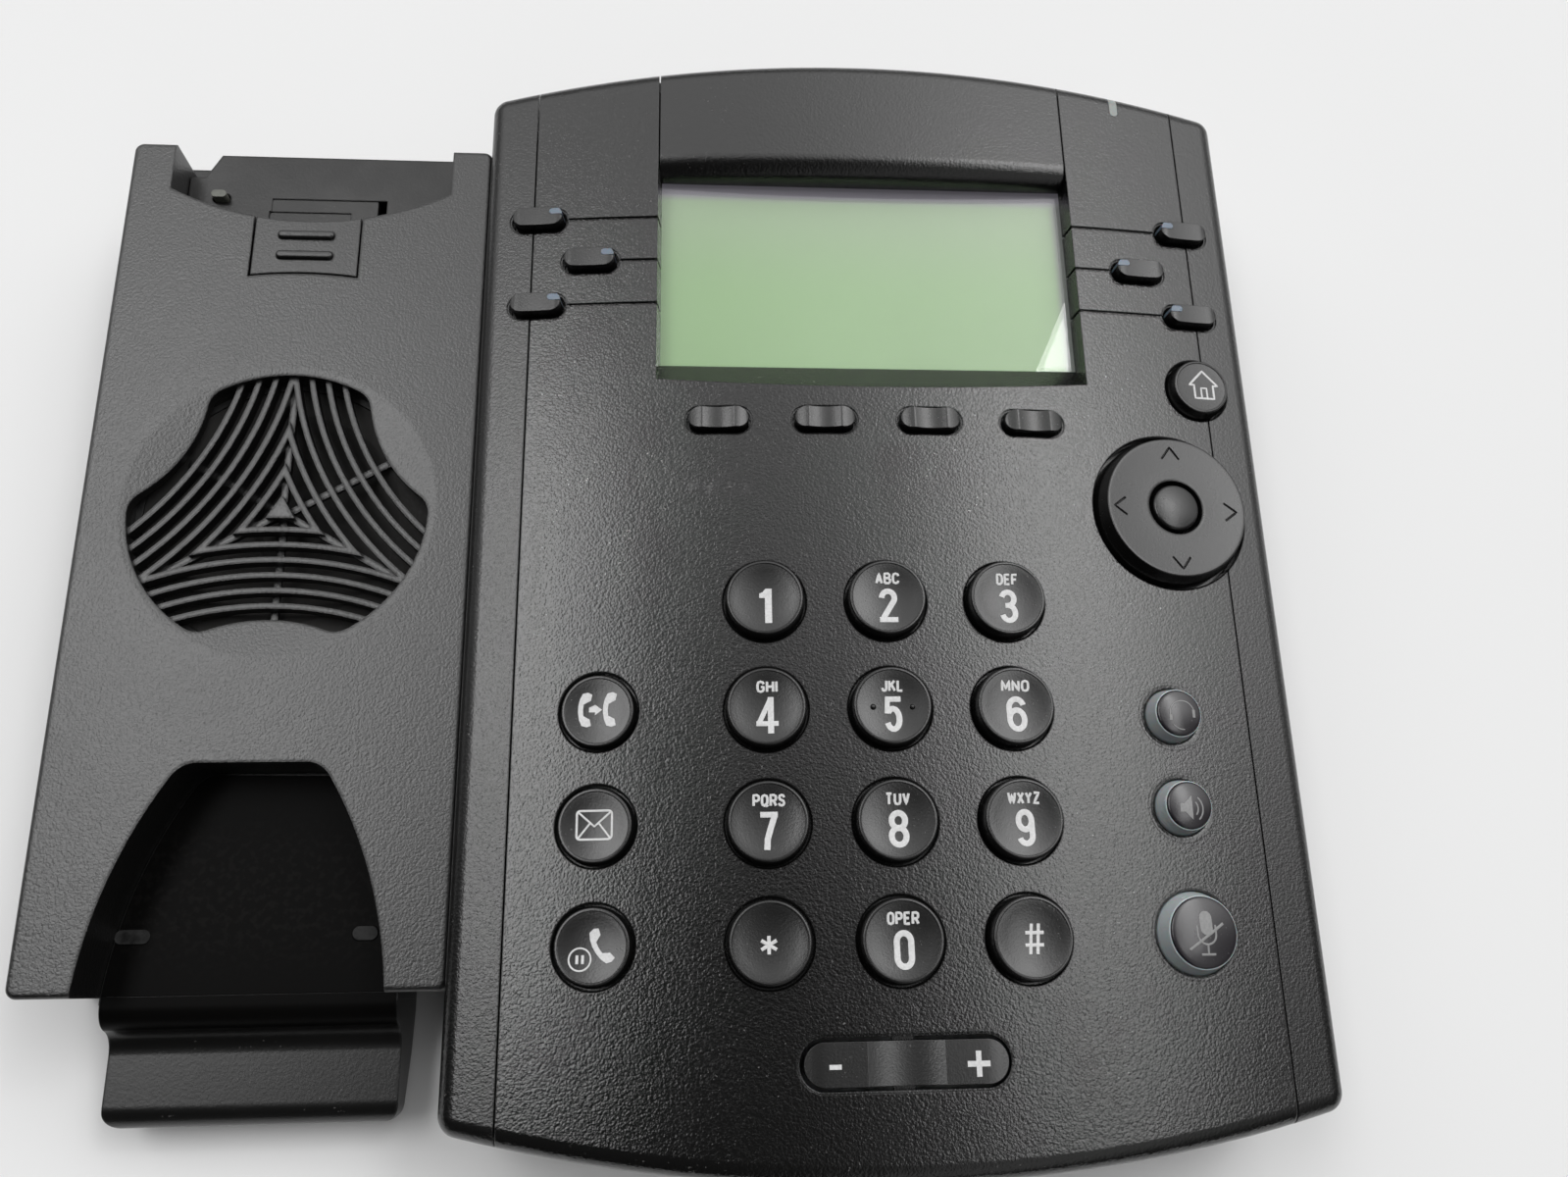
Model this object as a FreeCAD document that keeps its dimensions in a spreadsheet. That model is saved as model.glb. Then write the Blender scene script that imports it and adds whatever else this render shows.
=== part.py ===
import FreeCAD, Part
import Sketcher
import math
import operator
import os

# A desk telephone lying on its back: a crowned keypad housing with a display, and
# a flat handset cradle along its left side. Millimetres, +Z away from the desk,
# +Y towards the display end, origin on the desk at the middle of the footprint.

Vector = FreeCAD.Vector
Rotation = FreeCAD.Rotation

SIZES = {
    # keypad housing, seen from the front
    "body_width": 129.6,
    "body_length": 183.0,
    "top_arc": 330.0,
    "bottom_arc": 270.0,
    "corner_round": 3.1,
    "rim_round": 2.8,
    "face_height": 34.0,
    "crown": 464.0,
    "split_height": 16.0,
    "wall": 2.2,
    "seam_offset": 56.6,
    "seam_gap": 0.24,
    "dial_height": 57.5,
    "hole_lip": 0.3,
    # handset cradle
    "cradle_width": 61.4,
    "cradle_gap": 0.2,
    "cradle_base": 88.3,
    "cradle_length": 141.6,
    "cradle_height": 25.5,
    "cradle_split": 14.0,
    "cradle_round": 0.8,
    "collar_wall": 1.8,
    "leg_width": 7.0,
    "ear_arc": 50.0,
    "ear_corner": 101.8,
    "ear_floor": 18.5,
    "ear_floor_end": 113.5,
    "arch_floor": 15.5,
    "arch_half_width": 21.8,
    "arch_top": 2.5,
    "arch_side_arc": 68.0,
    "arch_shoulder": 11.5,
    "arch_shoulder_drop": 1.9,
    "arch_flat": 8.5,
    "arch_corner": 4.5,
    "floor_gap": 0.1,
    "tongue_width": 43.2,
    "tongue_length": 18.7,
    "tongue_wall": 2.4,
    "tongue_height": 9.0,
    "tongue_run": 7.0,
    "tongue_start": 1.2,
    "tongue_round": 2.4,
    "nose_over": 3.2,
    "nose_under": 1.4,
    # loudspeaker opening in the cradle
    "grille_y": 43.2,
    "dish_radius": 24.6,
    "dish_depth": 0.8,
    "lobe_radius": 23.4,
    "lobe_side": 18.4,
    "lobe_side_arc": 24.0,
    "lobe_corner": 4.0,
    "rib_width": 0.9,
    "rib_pitch": 2.55,
    "rib_first": 3.2,
    "rib_centre": 66.0,
    "rib_height": 2.3,
    "rib_drop": 0.3,
    "rib_lap": 0.12,
    "hub_reach": 2.6,
    "spoke_width": 1.1,
    "spoke_height": 0.7,
    "seam_drop": 1.2,
    # handset tab
    "tab_width": 17.6,
    "tab_low": 85.2,
    "tab_gap": 0.3,
    "tab_foot_arc": 66.0,
    "tab_bar_length": 9.5,
    "tab_bar_width": 1.5,
    "tab_bar_height": 0.8,
    "ledge_thick": 1.6,
    "ledge_length": 11.8,
    "catch_left": 9.0,
    "catch_right": 9.5,
    "catch_length": 3.0,
    "catch_depth": 0.2,
    "catch_step_right": 4.9,
    "catch_step_length": 0.45,
    "catch_hole": 1.6,
    # display
    "window_width": 70.2,
    "window_low": 67.5,
    "window_high": 103.1,
    "display_depth": 5.0,
    "ramp_length": 5.8,
    "side_slope": 0.8,
    "lens_thick": 1.2,
    "lens_margin": 2.0,
    "panel_thick": 3.0,
    "light_thick": 2.0,
    "frame_wall": 1.0,
    "cover_width": 70.8,
    "cover_low": 100.8,
    "cover_roll": 3.6,
    "leader_width": 0.55,
    "leader_depth": 0.4,
    # message lamp at the far right of the front housing
    "lamp_bar_x": 45.9,
    "lamp_bar_width": 1.5,
    "lamp_bar_low": 117.3,
    # switch stack under the keys
    "board_top": 21.5,
    "board_thick": 1.6,
    "board_margin": 2.0,
    "board_low": -48.0,
    "board_high": 116.0,
    "mat_high": 104.0,
    "mat_thick": 0.8,
    "dome_height": 1.2,
    "dome_radius": 2.2,
    "key_travel": 0.8,
    "stop_gap": 0.3,
    "flange_thick": 1.0,
    "stem_radius": 1.6,
    "side_gap": 0.28,
    # dial keys
    "dial_pitch_x": 18.67,
    "dial_pitch_y": 16.86,
    "dial_hole": 6.33,
    "dial_cap": 5.67,
    "dial_proud": 2.35,
    "dial_dish": 0.5,
    # keys beside the dial
    "function_x": 43.7,
    "function_hole": 5.93,
    "function_cap": 5.38,
    "function_proud": 1.0,
    "function_dish": 0.35,
    "lamp_x": 44.0,
    "lamp_hole": 4.9,
    "lamp_cap": 3.4,
    "lamp_proud": 2.0,
    "mute_hole": 6.35,
    "mute_cap": 5.0,
    "home_x": 55.1,
    "home_y": 63.4,
    "home_hole": 5.45,
    "home_cap": 4.8,
    "home_proud": 1.7,
    # navigation ring and select key
    "nav_x": 47.7,
    "nav_y": 41.2,
    "nav_hole": 13.1,
    "nav_skirt": 12.5,
    "nav_cap": 11.8,
    "nav_proud": 2.5,
    "nav_wall": 1.2,
    "nav_flange": 0.9,
    "nav_edge": 0.8,
    "nav_edge_arc": 0.95,
    "nav_top_arc": 60.0,
    "nav_lip": 0.35,
    "pivot_half": 0.8,
    "pivot_rib": 0.9,
    "pivot_inner": 5.4,
    "pivot_outer": 9.5,
    "plate_thick": 0.8,
    "plate_rib": 0.5,
    "seat_gap": 0.05,
    "select_hole": 4.48,
    "select_cap": 3.65,
    "select_proud": 2.8,
    "select_side_gap": 0.68,
    "select_flange": 0.22,
    "select_drop": 0.45,
    # pill shaped keys
    "line_length": 8.7,
    "line_width": 3.5,
    "line_proud": 1.3,
    "soft_pitch": 17.05,
    "soft_y": 55.8,
    "soft_length": 9.6,
    "soft_width": 3.6,
    "soft_proud": 1.5,
    "pill_gap": 0.4,
    "rocker_y": -41.6,
    "rocker_length": 28.6,
    "rocker_width": 5.9,
    "rocker_proud": 0.7,
    "rocker_gap": 0.58,
    "rocker_ear": 1.1,
    "rocker_ear_half": 1.5,
    "rocker_ear_thick": 1.0,
    "rocker_stem_x": 10.0,
    "rocker_clear": 0.5,
    "rocker_hollow": 17.0,
    "rocker_dip": 0.9,
    # fastening, feet and sockets
    "foot_radius": 6.0,
    "foot_proud": 1.0,
    "foot_seat": 1.0,
    "post_radius": 3.2,
    "post_reach": 8.0,
    "boss_wall": 1.6,
    "boss_top": 7.6,
    "screw_radius": 1.25,
    "screw_head": 2.6,
    "screw_top": 17.0,
    "screw_sink": 1.4,
    "head_thick": 2.1,
    "drive_half": 0.4,
    "drive_reach": 2.0,
    "drive_depth": 0.9,
    "port_width": 92.0,
    "port_low": 62.0,
    "port_high": 84.0,
    "port_clear": 1.3,
    "jack_gap": 0.1,
    "jack_low": 6.2,
    "jack_back": 3.0,
    "power_width": 9.2,
    "power_depth": 14.0,
    "power_bore": 3.2,
    "power_pin": 1.0,
    "power_hole": 11.0,
    "vent_pitch": 5.0,
    "vent_half": 0.9,
    "slot_half_length": 6.0,
    "slot_half_width": 1.6,
    # plunger and switch under the receiver's ear end
    "hook_cap_length": 2.6,
    "hook_cap_width": 1.4,
    "hook_proud": 1.6,
    "hook_gap": 0.3,
    "hook_flange_length": 5.2,
    "hook_flange_width": 3.0,
    "hook_stem": 0.8,
    "hook_stem_low": 12.5,
    "switch_half": 2.2,
    "switch_top": 10.0,
    # microphone capsule inside the lower front
    "mic_x": -30.0,
    "mic_y": -49.0,
    "mic_radius": 3.0,
    "mic_height": 5.0,
}

doc = FreeCAD.newDocument("DeskPhone")
kept = []


class Size:
    """A figure together with the sheet formula that it comes from."""

    def __init__(self, value, formula):
        self.value = value
        self.formula = formula

    def __add__(self, other):
        return combine(operator.add, self, "+", other)

    def __radd__(self, other):
        return combine(operator.add, other, "+", self)

    def __sub__(self, other):
        return combine(operator.sub, self, "-", other)

    def __rsub__(self, other):
        return combine(operator.sub, other, "-", self)

    def __mul__(self, other):
        return combine(operator.mul, self, "*", other)

    def __rmul__(self, other):
        return combine(operator.mul, other, "*", self)

    def __truediv__(self, other):
        return combine(operator.truediv, self, "/", other)

    def __neg__(self):
        return combine(operator.mul, -1, "*", self)


def size(amount):
    """Any plain number as a Size."""
    if isinstance(amount, Size):
        return amount
    return Size(float(amount), f"({float(amount):.6f})")


def combine(action, left, sign, right):
    left = size(left)
    right = size(right)
    value = action(left.value, right.value)
    return Size(value, f"({left.formula} {sign} {right.formula})")


def root(amount):
    return Size(math.sqrt(amount.value), f"sqrt({amount.formula})")


def arcsine(amount):
    """The angle in degrees."""
    return Size(math.degrees(math.asin(amount.value)), f"asin({amount.formula})")


class Sheet:
    """The driving dimensions, each one a cell with a name."""

    def __init__(self, sizes):
        cells = doc.addObject("Spreadsheet::Sheet", "Sizes")
        for row, (name, value) in enumerate(sizes.items(), start=1):
            cells.set(f"A{row}", name)
            cells.set(f"B{row}", str(value))
            cells.setAlias(f"B{row}", name)
            setattr(self, name, Size(value, f"Sizes.{name}"))
        doc.recompute()


d = Sheet(SIZES)


# Places that many pieces share

BODY_X = d.cradle_width / 2
DIAL_Y = d.dial_height - d.body_length / 2
HALF_WIDTH = d.body_width / 2
BODY_TOP = d.body_length - d.dial_height
CRADLE_X = -HALF_WIDTH - d.cradle_width / 2
CRADLE_LOW = d.dial_height - d.cradle_base
CRADLE_TOP = CRADLE_LOW + d.cradle_length
BACK = d.foot_proud
FLOOR = BACK + d.tongue_wall
DISPLAY = d.face_height - d.display_depth
BOARD_LOW = d.board_top - d.board_thick
PORT_CEILING = BOARD_LOW - d.wall - d.port_clear
MAT_TOP = d.board_top + d.mat_thick
STEM_END = MAT_TOP + d.dome_height + d.key_travel + d.stop_gap
FLANGE_TOP = -d.wall - d.stop_gap
FLANGE_LOW = FLANGE_TOP - d.flange_thick
RECESS_LOW = d.window_low - d.ramp_length
SCREW_SEAT = BACK + d.screw_sink + d.head_thick


def bind(thing, path, amount):
    """Let the sheet drive one property."""
    thing.setExpression(path, size(amount).formula)


def place(thing, x=0, y=0, z=0, tilt=None):
    """Put a piece where the sheet says, leaning about the Y direction by tilt."""
    if tilt is not None and abs(tilt.value) > 1e-6:
        leans_right = tilt.value > 0
        angle = tilt if leans_right else -tilt
        axis = Vector(0, 1 if leans_right else -1, 0)
        thing.Placement = FreeCAD.Placement(Vector(0, 0, 0), Rotation(axis, angle.value))
        bind(thing, "Placement.Rotation.Angle", angle)
    bind(thing, "Placement.Base.x", x)
    bind(thing, "Placement.Base.y", y)
    bind(thing, "Placement.Base.z", z)
    return thing


def keep(thing, label):
    """One sub-part of the telephone, written under this name."""
    thing.Label = label
    kept.append(thing)
    return thing


def keep_on_face(thing, label):
    """A sub-part drawn from the dial's centre, moved to its place on the desk."""
    if thing.TypeId in ("Part::Box", "Part::Cylinder"):
        thing = group(label + "_alone", [thing])
    place(thing, BODY_X, DIAL_Y)
    return keep(thing, label)


# Sketches and the solids made from them


def hold(sketch, kind, target, amount):
    amount = size(amount)
    index = sketch.addConstraint(Sketcher.Constraint(kind, *target, amount.value))
    sketch.setExpression(f"Constraints[{index}]", amount.formula)


def arc_edge(begin, end, radius, side):
    """An arc that bows to the right of its run when side is 1, to the left at -1."""
    chord = end - begin
    across = Vector(chord.y, -chord.x, 0).normalize()
    reach = math.sqrt(max(radius ** 2 - chord.Length ** 2 / 4, 0))
    centre = (begin + end) / 2 - across * reach * side
    ends = (begin, end) if side > 0 else (end, begin)
    angles = [math.atan2(spot.y - centre.y, spot.x - centre.x) for spot in ends]
    if angles[1] < angles[0]:
        angles[1] += 2 * math.pi
    return Part.ArcOfCircle(Part.Circle(centre, Vector(0, 0, 1), radius), *angles)


def draw(sketch, corners):
    """A closed outline. A corner is (x, y), or (x, y, radius, side) before an arc."""
    first = sketch.GeometryCount
    count = len(corners)
    spots = [Vector(size(c[0]).value, size(c[1]).value, 0) for c in corners]
    starts = []
    for index, corner in enumerate(corners):
        begin = spots[index]
        end = spots[(index + 1) % count]
        if len(corner) == 2:
            sketch.addGeometry(Part.LineSegment(begin, end), False)
            starts.append(1)
        else:
            arc = arc_edge(begin, end, size(corner[2]).value, corner[3])
            sketch.addGeometry(arc, False)
            starts.append(1 if corner[3] > 0 else 2)
    for index, corner in enumerate(corners):
        edge = first + index
        after = (index + 1) % count
        joint = (edge, 3 - starts[index], first + after, starts[after])
        sketch.addConstraint(Sketcher.Constraint("Coincident", *joint))
        hold(sketch, "DistanceX", (edge, starts[index]), corner[0])
        hold(sketch, "DistanceY", (edge, starts[index]), corner[1])
        if len(corner) > 2:
            hold(sketch, "Radius", (edge,), corner[2])


def draw_circle(sketch, x, y, radius):
    centre = Vector(size(x).value, size(y).value, 0)
    circle = Part.Circle(centre, Vector(0, 0, 1), size(radius).value)
    edge = sketch.addGeometry(circle, False)
    hold(sketch, "DistanceX", (edge, 3), x)
    hold(sketch, "DistanceY", (edge, 3), y)
    hold(sketch, "Radius", (edge,), radius)


def new_body(name):
    return doc.addObject("PartDesign::Body", name)


def sketch_in(body, role, lift=0):
    """An empty sketch on one of the body's own planes, lifted off it."""
    sketch = body.newObject("Sketcher::SketchObject", body.Name + "_sketch")
    plane = next(item for item in body.Origin.OriginFeatures if item.Role == role)
    sketch.AttachmentSupport = [(plane, "")]
    sketch.MapMode = "FlatFace"
    bind(sketch, "AttachmentOffset.Base.z", lift)
    return sketch


def pad(body, sketch, height):
    feature = body.newObject("PartDesign::Pad", body.Name + "_pad")
    feature.Profile = sketch
    bind(feature, "Length", height)
    body.Tip = feature
    return feature


def pocket_through(body, sketch):
    feature = body.newObject("PartDesign::Pocket", body.Name + "_pocket")
    feature.Profile = sketch
    feature.SideType = "Symmetric"
    feature.Type = "ThroughAll"
    body.Tip = feature
    return feature


def round_edges(body, chosen, radius):
    """Fillet the edges of the body's last feature that chosen() accepts."""
    doc.recompute()
    base = body.Tip
    names = [f"Edge{n}" for n, edge in enumerate(base.Shape.Edges, 1) if chosen(edge)]
    feature = body.newObject("PartDesign::Fillet", body.Name + "_fillet")
    feature.Base = (base, names)
    bind(feature, "Radius", radius)
    body.Tip = feature
    return feature


def upright(edge):
    box = edge.BoundBox
    return box.ZLength > 1e-3 and box.XLength < 1e-6 and box.YLength < 1e-6


def above(height):
    """A test for edges that lie wholly above a height."""
    return lambda edge: edge.BoundBox.ZMin > height


def below(height):
    return lambda edge: edge.BoundBox.ZMax < height


def slab(name, corners, low, high):
    """A flat piece with this outline between two heights."""
    body = new_body(name)
    sketch = sketch_in(body, "XY_Plane", low)
    draw(sketch, corners)
    pad(body, sketch, high - low)
    return body


def turned(name, profile):
    """A round piece, its half section drawn beside its own upright axis."""
    body = new_body(name)
    sketch = sketch_in(body, "XZ_Plane")
    draw(sketch, profile)
    turn = body.newObject("PartDesign::Revolution", name + "_turn")
    turn.Profile = sketch
    turn.ReferenceAxis = (sketch, ["V_Axis"])
    turn.Angle = 360
    body.Tip = turn
    return body


def block(name, x, y, z):
    """A box from three (low, high) pairs."""
    box = doc.addObject("Part::Box", name)
    for side, (low, high) in zip(("Length", "Width", "Height"), (x, y, z)):
        bind(box, side, high - low)
    return place(box, x[0], y[0], z[0])


def rod(name, x, y, z, radius):
    """An upright cylinder between the two heights in z."""
    cylinder = doc.addObject("Part::Cylinder", name)
    bind(cylinder, "Radius", radius)
    bind(cylinder, "Height", z[1] - z[0])
    return place(cylinder, x, y, z[0])


def lying_rod(name, radius, reach, height):
    """A cylinder along Y, to both sides of the middle."""
    cylinder = doc.addObject("Part::Cylinder", name)
    bind(cylinder, "Radius", radius)
    bind(cylinder, "Height", reach * 2)
    cylinder.Placement = FreeCAD.Placement(Vector(0, 0, 0), Rotation(Vector(1, 0, 0), 90))
    bind(cylinder, "Placement.Base.y", reach)
    bind(cylinder, "Placement.Base.z", height)
    return cylinder


def pill(name, x, y, z, length, width):
    """A block with round ends, long in X, centred on x and y."""
    reach = (length - width) / 2
    ends = [rod(f"{name}_end", x + side * reach, y, z, width / 2) for side in (-1, 1)]
    middle = block(f"{name}_middle", (x - reach, x + reach),
                   (y - width / 2, y + width / 2), z)
    return fuse(name, middle, *ends)


def several(name, kind, pieces):
    made = doc.addObject(kind, name)
    made.Shapes = pieces
    made.Refine = True
    return made


def fuse(name, *pieces):
    return several(name, "Part::MultiFuse", list(pieces))


def common(name, *pieces):
    return several(name, "Part::MultiCommon", list(pieces))


def cut(name, base, *tools):
    made = doc.addObject("Part::Cut", name)
    made.Base = base
    made.Tool = tools[0] if len(tools) == 1 else fuse(name + "_tools", *tools)
    made.Refine = True
    return made


def group(name, pieces):
    """Separate solids that share one node."""
    made = doc.addObject("Part::Compound", name)
    made.Links = pieces
    return made


def rectangle(x, y):
    return [(x[0], y[0]), (x[1], y[0]), (x[1], y[1]), (x[0], y[1])]


# The crowned housing


def crown_height(x):
    """Height of the crowned face at x from the housing's centre line."""
    return d.face_height - d.crown + root(d.crown * d.crown - size(x) * x)


def crown_tilt(x):
    return arcsine(size(x) / d.crown)


def on_crown(thing, x, y, drawn_from_dial=False):
    """Seat a key or a hole tool on the crowned face, square to it."""
    shift = (0, 0) if drawn_from_dial else (BODY_X, DIAL_Y)
    return place(thing, shift[0] + x, shift[1] + y, crown_height(x), crown_tilt(x))


def housing_plan(inset):
    """The housing's outline, its ends two long arcs, moved in by inset."""
    half = HALF_WIDTH - inset
    arc_top = d.top_arc - inset
    arc_low = d.bottom_arc - inset
    high = BODY_TOP - d.top_arc + root(arc_top * arc_top - half * half)
    low = d.bottom_arc - d.dial_height - root(arc_low * arc_low - half * half)
    return [(-half, low, arc_low, 1), (half, low), (half, high, arc_top, 1), (-half, high)]


def crowned_form(name, inset):
    """The closed form of the upper housing, moved in by inset on every side."""
    body = new_body(name)
    plan = sketch_in(body, "XY_Plane", d.split_height)
    draw(plan, housing_plan(inset))
    pad(body, plan, d.face_height - d.split_height)
    round_edges(body, upright, d.corner_round - inset)
    section = sketch_in(body, "XZ_Plane")
    reach = HALF_WIDTH + d.wall
    arc = d.crown - inset
    edge = d.face_height - d.crown + root(arc * arc - reach * reach)
    over = d.face_height + d.wall
    draw(section, [(-reach, edge, arc, -1), (reach, edge), (reach, over), (-reach, over)])
    pocket_through(body, section)
    round_edges(body, above(d.split_height.value + d.wall.value), d.rim_round - inset)
    return body


def round_hole(name, x, y, radius):
    """A tool for a round key hole with a small lip chamfer."""
    flare = d.nav_proud
    profile = [
        (0, -d.display_depth * 2),
        (radius, -d.display_depth * 2),
        (radius, -d.hole_lip),
        (radius + flare, flare - d.hole_lip),
        (0, flare - d.hole_lip),
    ]
    return on_crown(turned(name, profile), x, y, drawn_from_dial=True)


def pill_hole(name, x, y, length, width):
    """A tool for a long key hole, with the lip as a small step."""
    deep = (-d.display_depth * 2, d.nav_proud)
    shallow = (-d.hole_lip, d.nav_proud)
    lip = d.hole_lip * 2
    well = pill(name + "_well", 0, 0, deep, length, width)
    rim = pill(name + "_rim", 0, 0, shallow, length + lip, width + lip)
    return on_crown(fuse(name, well, rim), x, y, drawn_from_dial=True)


# Keys: where each one sits, seen from the dial's centre

DIAL_ROWS = (("one", "two", "three"), ("four", "five", "six"),
             ("seven", "eight", "nine"), ("star", "zero", "pound"))
FUNCTION_KEYS = {"transfer_key": 8.5, "messages_key": -8.4, "hold_key": -25.3}
LINE_KEYS = {
    "line_key_left_top": (-55.7, 93.5),
    "line_key_left_middle": (-46.85, 85.35),
    "line_key_left_low": (-55.5, 77.2),
    "line_key_right_top": (55.7, 93.5),
    "line_key_right_middle": (46.85, 85.35),
    "line_key_right_low": (55.5, 77.2),
}
TAB_BARS = (89.0, 92.9)
HOOK = (-17.8, 104.6)
VENTS = 11
VENT_SPAN = (-32, -16)
POSTS = ((-50, -42), (50, -42), (-30, 37), (26, 37), (-50, 111), (50, 111))
STAND_SLOTS = ((-32, 2), (32, 2), (-32, 50), (32, 50))
FEET = ((-50, -29), (50, -29), (-50, 99), (50, 99), (-114, -17), (-114, 100))


def dial_places():
    for row, names in enumerate(DIAL_ROWS):
        for column, name in enumerate(names):
            yield (f"dial_key_{name}", (column - 1) * d.dial_pitch_x,
                   (1.5 - row) * d.dial_pitch_y)


def soft_places():
    for index in range(4):
        yield f"soft_key_{index + 1}", (index - 1.5) * d.soft_pitch, d.soft_y


def lamp_places():
    """Headset, speaker and mute keys: name, y, hole radius, cap radius."""
    yield "headset_key", 7.4, d.lamp_hole, d.lamp_cap
    yield "speaker_key", -6.6, d.lamp_hole, d.lamp_cap
    yield "mute_key", -24.9, d.mute_hole, d.mute_cap


def stem_depth(x):
    """How far a key's stem reaches below the face at x."""
    return crown_height(x) - STEM_END


def round_key(name, x, y, hole, cap, proud, dish):
    """A round key with a dished top, a flange under the housing and a stem."""
    edge = proud * 0.2
    skirt = hole - d.side_gap
    flat = cap - edge
    bowl = (flat * flat + dish * dish) / (2 * dish)
    foot = -stem_depth(x)
    profile = [
        (0, foot),
        (d.stem_radius, foot),
        (d.stem_radius, FLANGE_LOW),
        (hole + d.side_gap * 2, FLANGE_LOW),
        (hole + d.side_gap * 2, FLANGE_TOP),
        (skirt, FLANGE_TOP),
        (skirt, 0),
        (cap, proud - edge, edge * 1.2, 1),
        (flat, proud, bowl, -1),
        (0, proud - dish),
    ]
    return keep(on_crown(turned(name, profile), x, y), name)


def lamp_key(name, y, hole, cap):
    """A translucent moulding whose domed cap is dark and whose skirt glows when lit."""
    x = d.lamp_x
    dome = cap * 2.2
    shoulder = d.lamp_proud - dome + root(dome * dome - cap * cap)
    foot = -stem_depth(x)
    skirt = hole - d.side_gap
    step = cap + d.floor_gap * 4
    profile = [
        (0, foot),
        (d.stem_radius, foot),
        (d.stem_radius, FLANGE_LOW),
        (hole + d.side_gap * 2, FLANGE_LOW),
        (hole + d.side_gap * 2, FLANGE_TOP),
        (skirt, FLANGE_TOP),
        (skirt, 0),
        (step, shoulder - d.floor_gap),
        (cap, shoulder - d.floor_gap),
        (cap, shoulder, dome, 1),
        (0, d.lamp_proud),
    ]
    keep(on_crown(turned(name, profile), x, y), name)


def pill_key(name, x, y, length, width, proud, saddle=None):
    """A long key on a flange; saddle is the radius of the hollow in its top."""
    foot = -stem_depth(x)
    margin = d.pill_gap * 4
    parts = [
        pill(name + "_cap", 0, 0, (FLANGE_TOP, proud), length, width),
        pill(name + "_flange", 0, 0, (FLANGE_LOW, FLANGE_TOP), length + margin, width + margin),
        rod(name + "_stem", 0, 0, (foot, FLANGE_LOW), d.stem_radius),
    ]
    solid = fuse(name + "_solid", *parts)
    if saddle is not None:
        dish = lying_rod(name + "_saddle", saddle, width, proud + saddle * 0.96)
        solid = cut(name + "_cut", solid, dish)
    return keep(on_crown(solid, x, y), name)


def navigation():
    """A tilting ring on a pivot plate, its carrier, and the select key inside."""
    under = -d.nav_proud
    rib_low = under - d.pivot_rib
    plate_top = rib_low - d.stop_gap
    plate_low = plate_top - d.plate_thick
    plate_foot = plate_low - d.plate_rib
    nav_ring(under, rib_low)
    pivot_plate(plate_foot, plate_low, plate_top)
    lean = d.pivot_outer * d.nav_x / d.crown
    seat_low = MAT_TOP - crown_height(d.nav_x) + lean + d.seat_gap
    seat = rectangle((d.pivot_inner, d.pivot_outer), (seat_low, plate_foot - d.stop_gap))
    keep(on_crown(turned("nav_carrier", seat), d.nav_x, d.nav_y), "nav_carrier")
    select_key(under)


def nav_ring(under, rib_low):
    """The dished ring, with a flange under the housing and two ribs that it rocks on."""
    skirt = d.nav_skirt - d.nav_wall
    flange = d.nav_hole + d.nav_flange
    high = FLANGE_TOP - d.flange_thick + d.stop_gap * 0.4
    low = high - d.flange_thick
    profile = [
        (d.select_hole, under),
        (skirt, under),
        (skirt, low),
        (flange, low),
        (flange, high),
        (d.nav_skirt, high),
        (d.nav_skirt, 0),
        (d.nav_cap, d.nav_proud - d.nav_edge, d.nav_edge_arc, 1),
        (d.nav_cap - d.nav_edge, d.nav_proud, d.nav_top_arc, -1),
        (d.select_hole + d.nav_lip, d.nav_proud - d.nav_lip),
        (d.select_hole, d.nav_proud - d.nav_lip * 2),
    ]
    across = (-d.pivot_half, d.pivot_half)
    spans = ((-d.pivot_outer, -d.pivot_inner), (d.pivot_inner, d.pivot_outer))
    ribs = [block(f"nav_rib_{side}", across, span, (rib_low, under))
            for side, span in enumerate(spans)]
    ring = fuse("nav_ring_solid", turned("nav_ring_turned", profile), *ribs)
    keep(on_crown(ring, d.nav_x, d.nav_y), "nav_ring")


def pivot_plate(foot, low, high):
    """The washer between ring and carrier, with ribs across the ring's own."""
    disc = turned("nav_plate_disc", rectangle((d.pivot_inner, d.pivot_outer), (low, high)))
    across = (-d.pivot_half, d.pivot_half)
    inset = d.stop_gap
    spans = ((-d.pivot_outer + inset, -d.pivot_inner - inset),
             (d.pivot_inner + inset, d.pivot_outer - inset))
    feet = [block(f"nav_plate_rib_{side}", span, across, (foot, low))
            for side, span in enumerate(spans)]
    keep(on_crown(fuse("nav_plate_solid", disc, *feet), d.nav_x, d.nav_y), "nav_pivot_plate")


def select_key(under):
    """The domed key in the middle of the ring."""
    flange_low = under - d.pivot_rib
    flange_top = under - d.select_drop
    shaft = d.select_hole - d.select_side_gap
    lip = d.select_hole + d.select_flange
    cap = d.select_cap
    dome = cap * 4
    shoulder = d.select_proud - dome + root(dome * dome - cap * cap)
    foot = -stem_depth(d.nav_x)
    profile = [
        (0, foot),
        (d.stem_radius, foot),
        (d.stem_radius, flange_low),
        (lip, flange_low),
        (lip, flange_top),
        (shaft, flange_top),
        (shaft, -d.wall),
        (cap, shoulder, dome, 1),
        (0, d.select_proud),
    ]
    keep(on_crown(turned("select_key", profile), d.nav_x, d.nav_y), "select_key")


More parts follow.
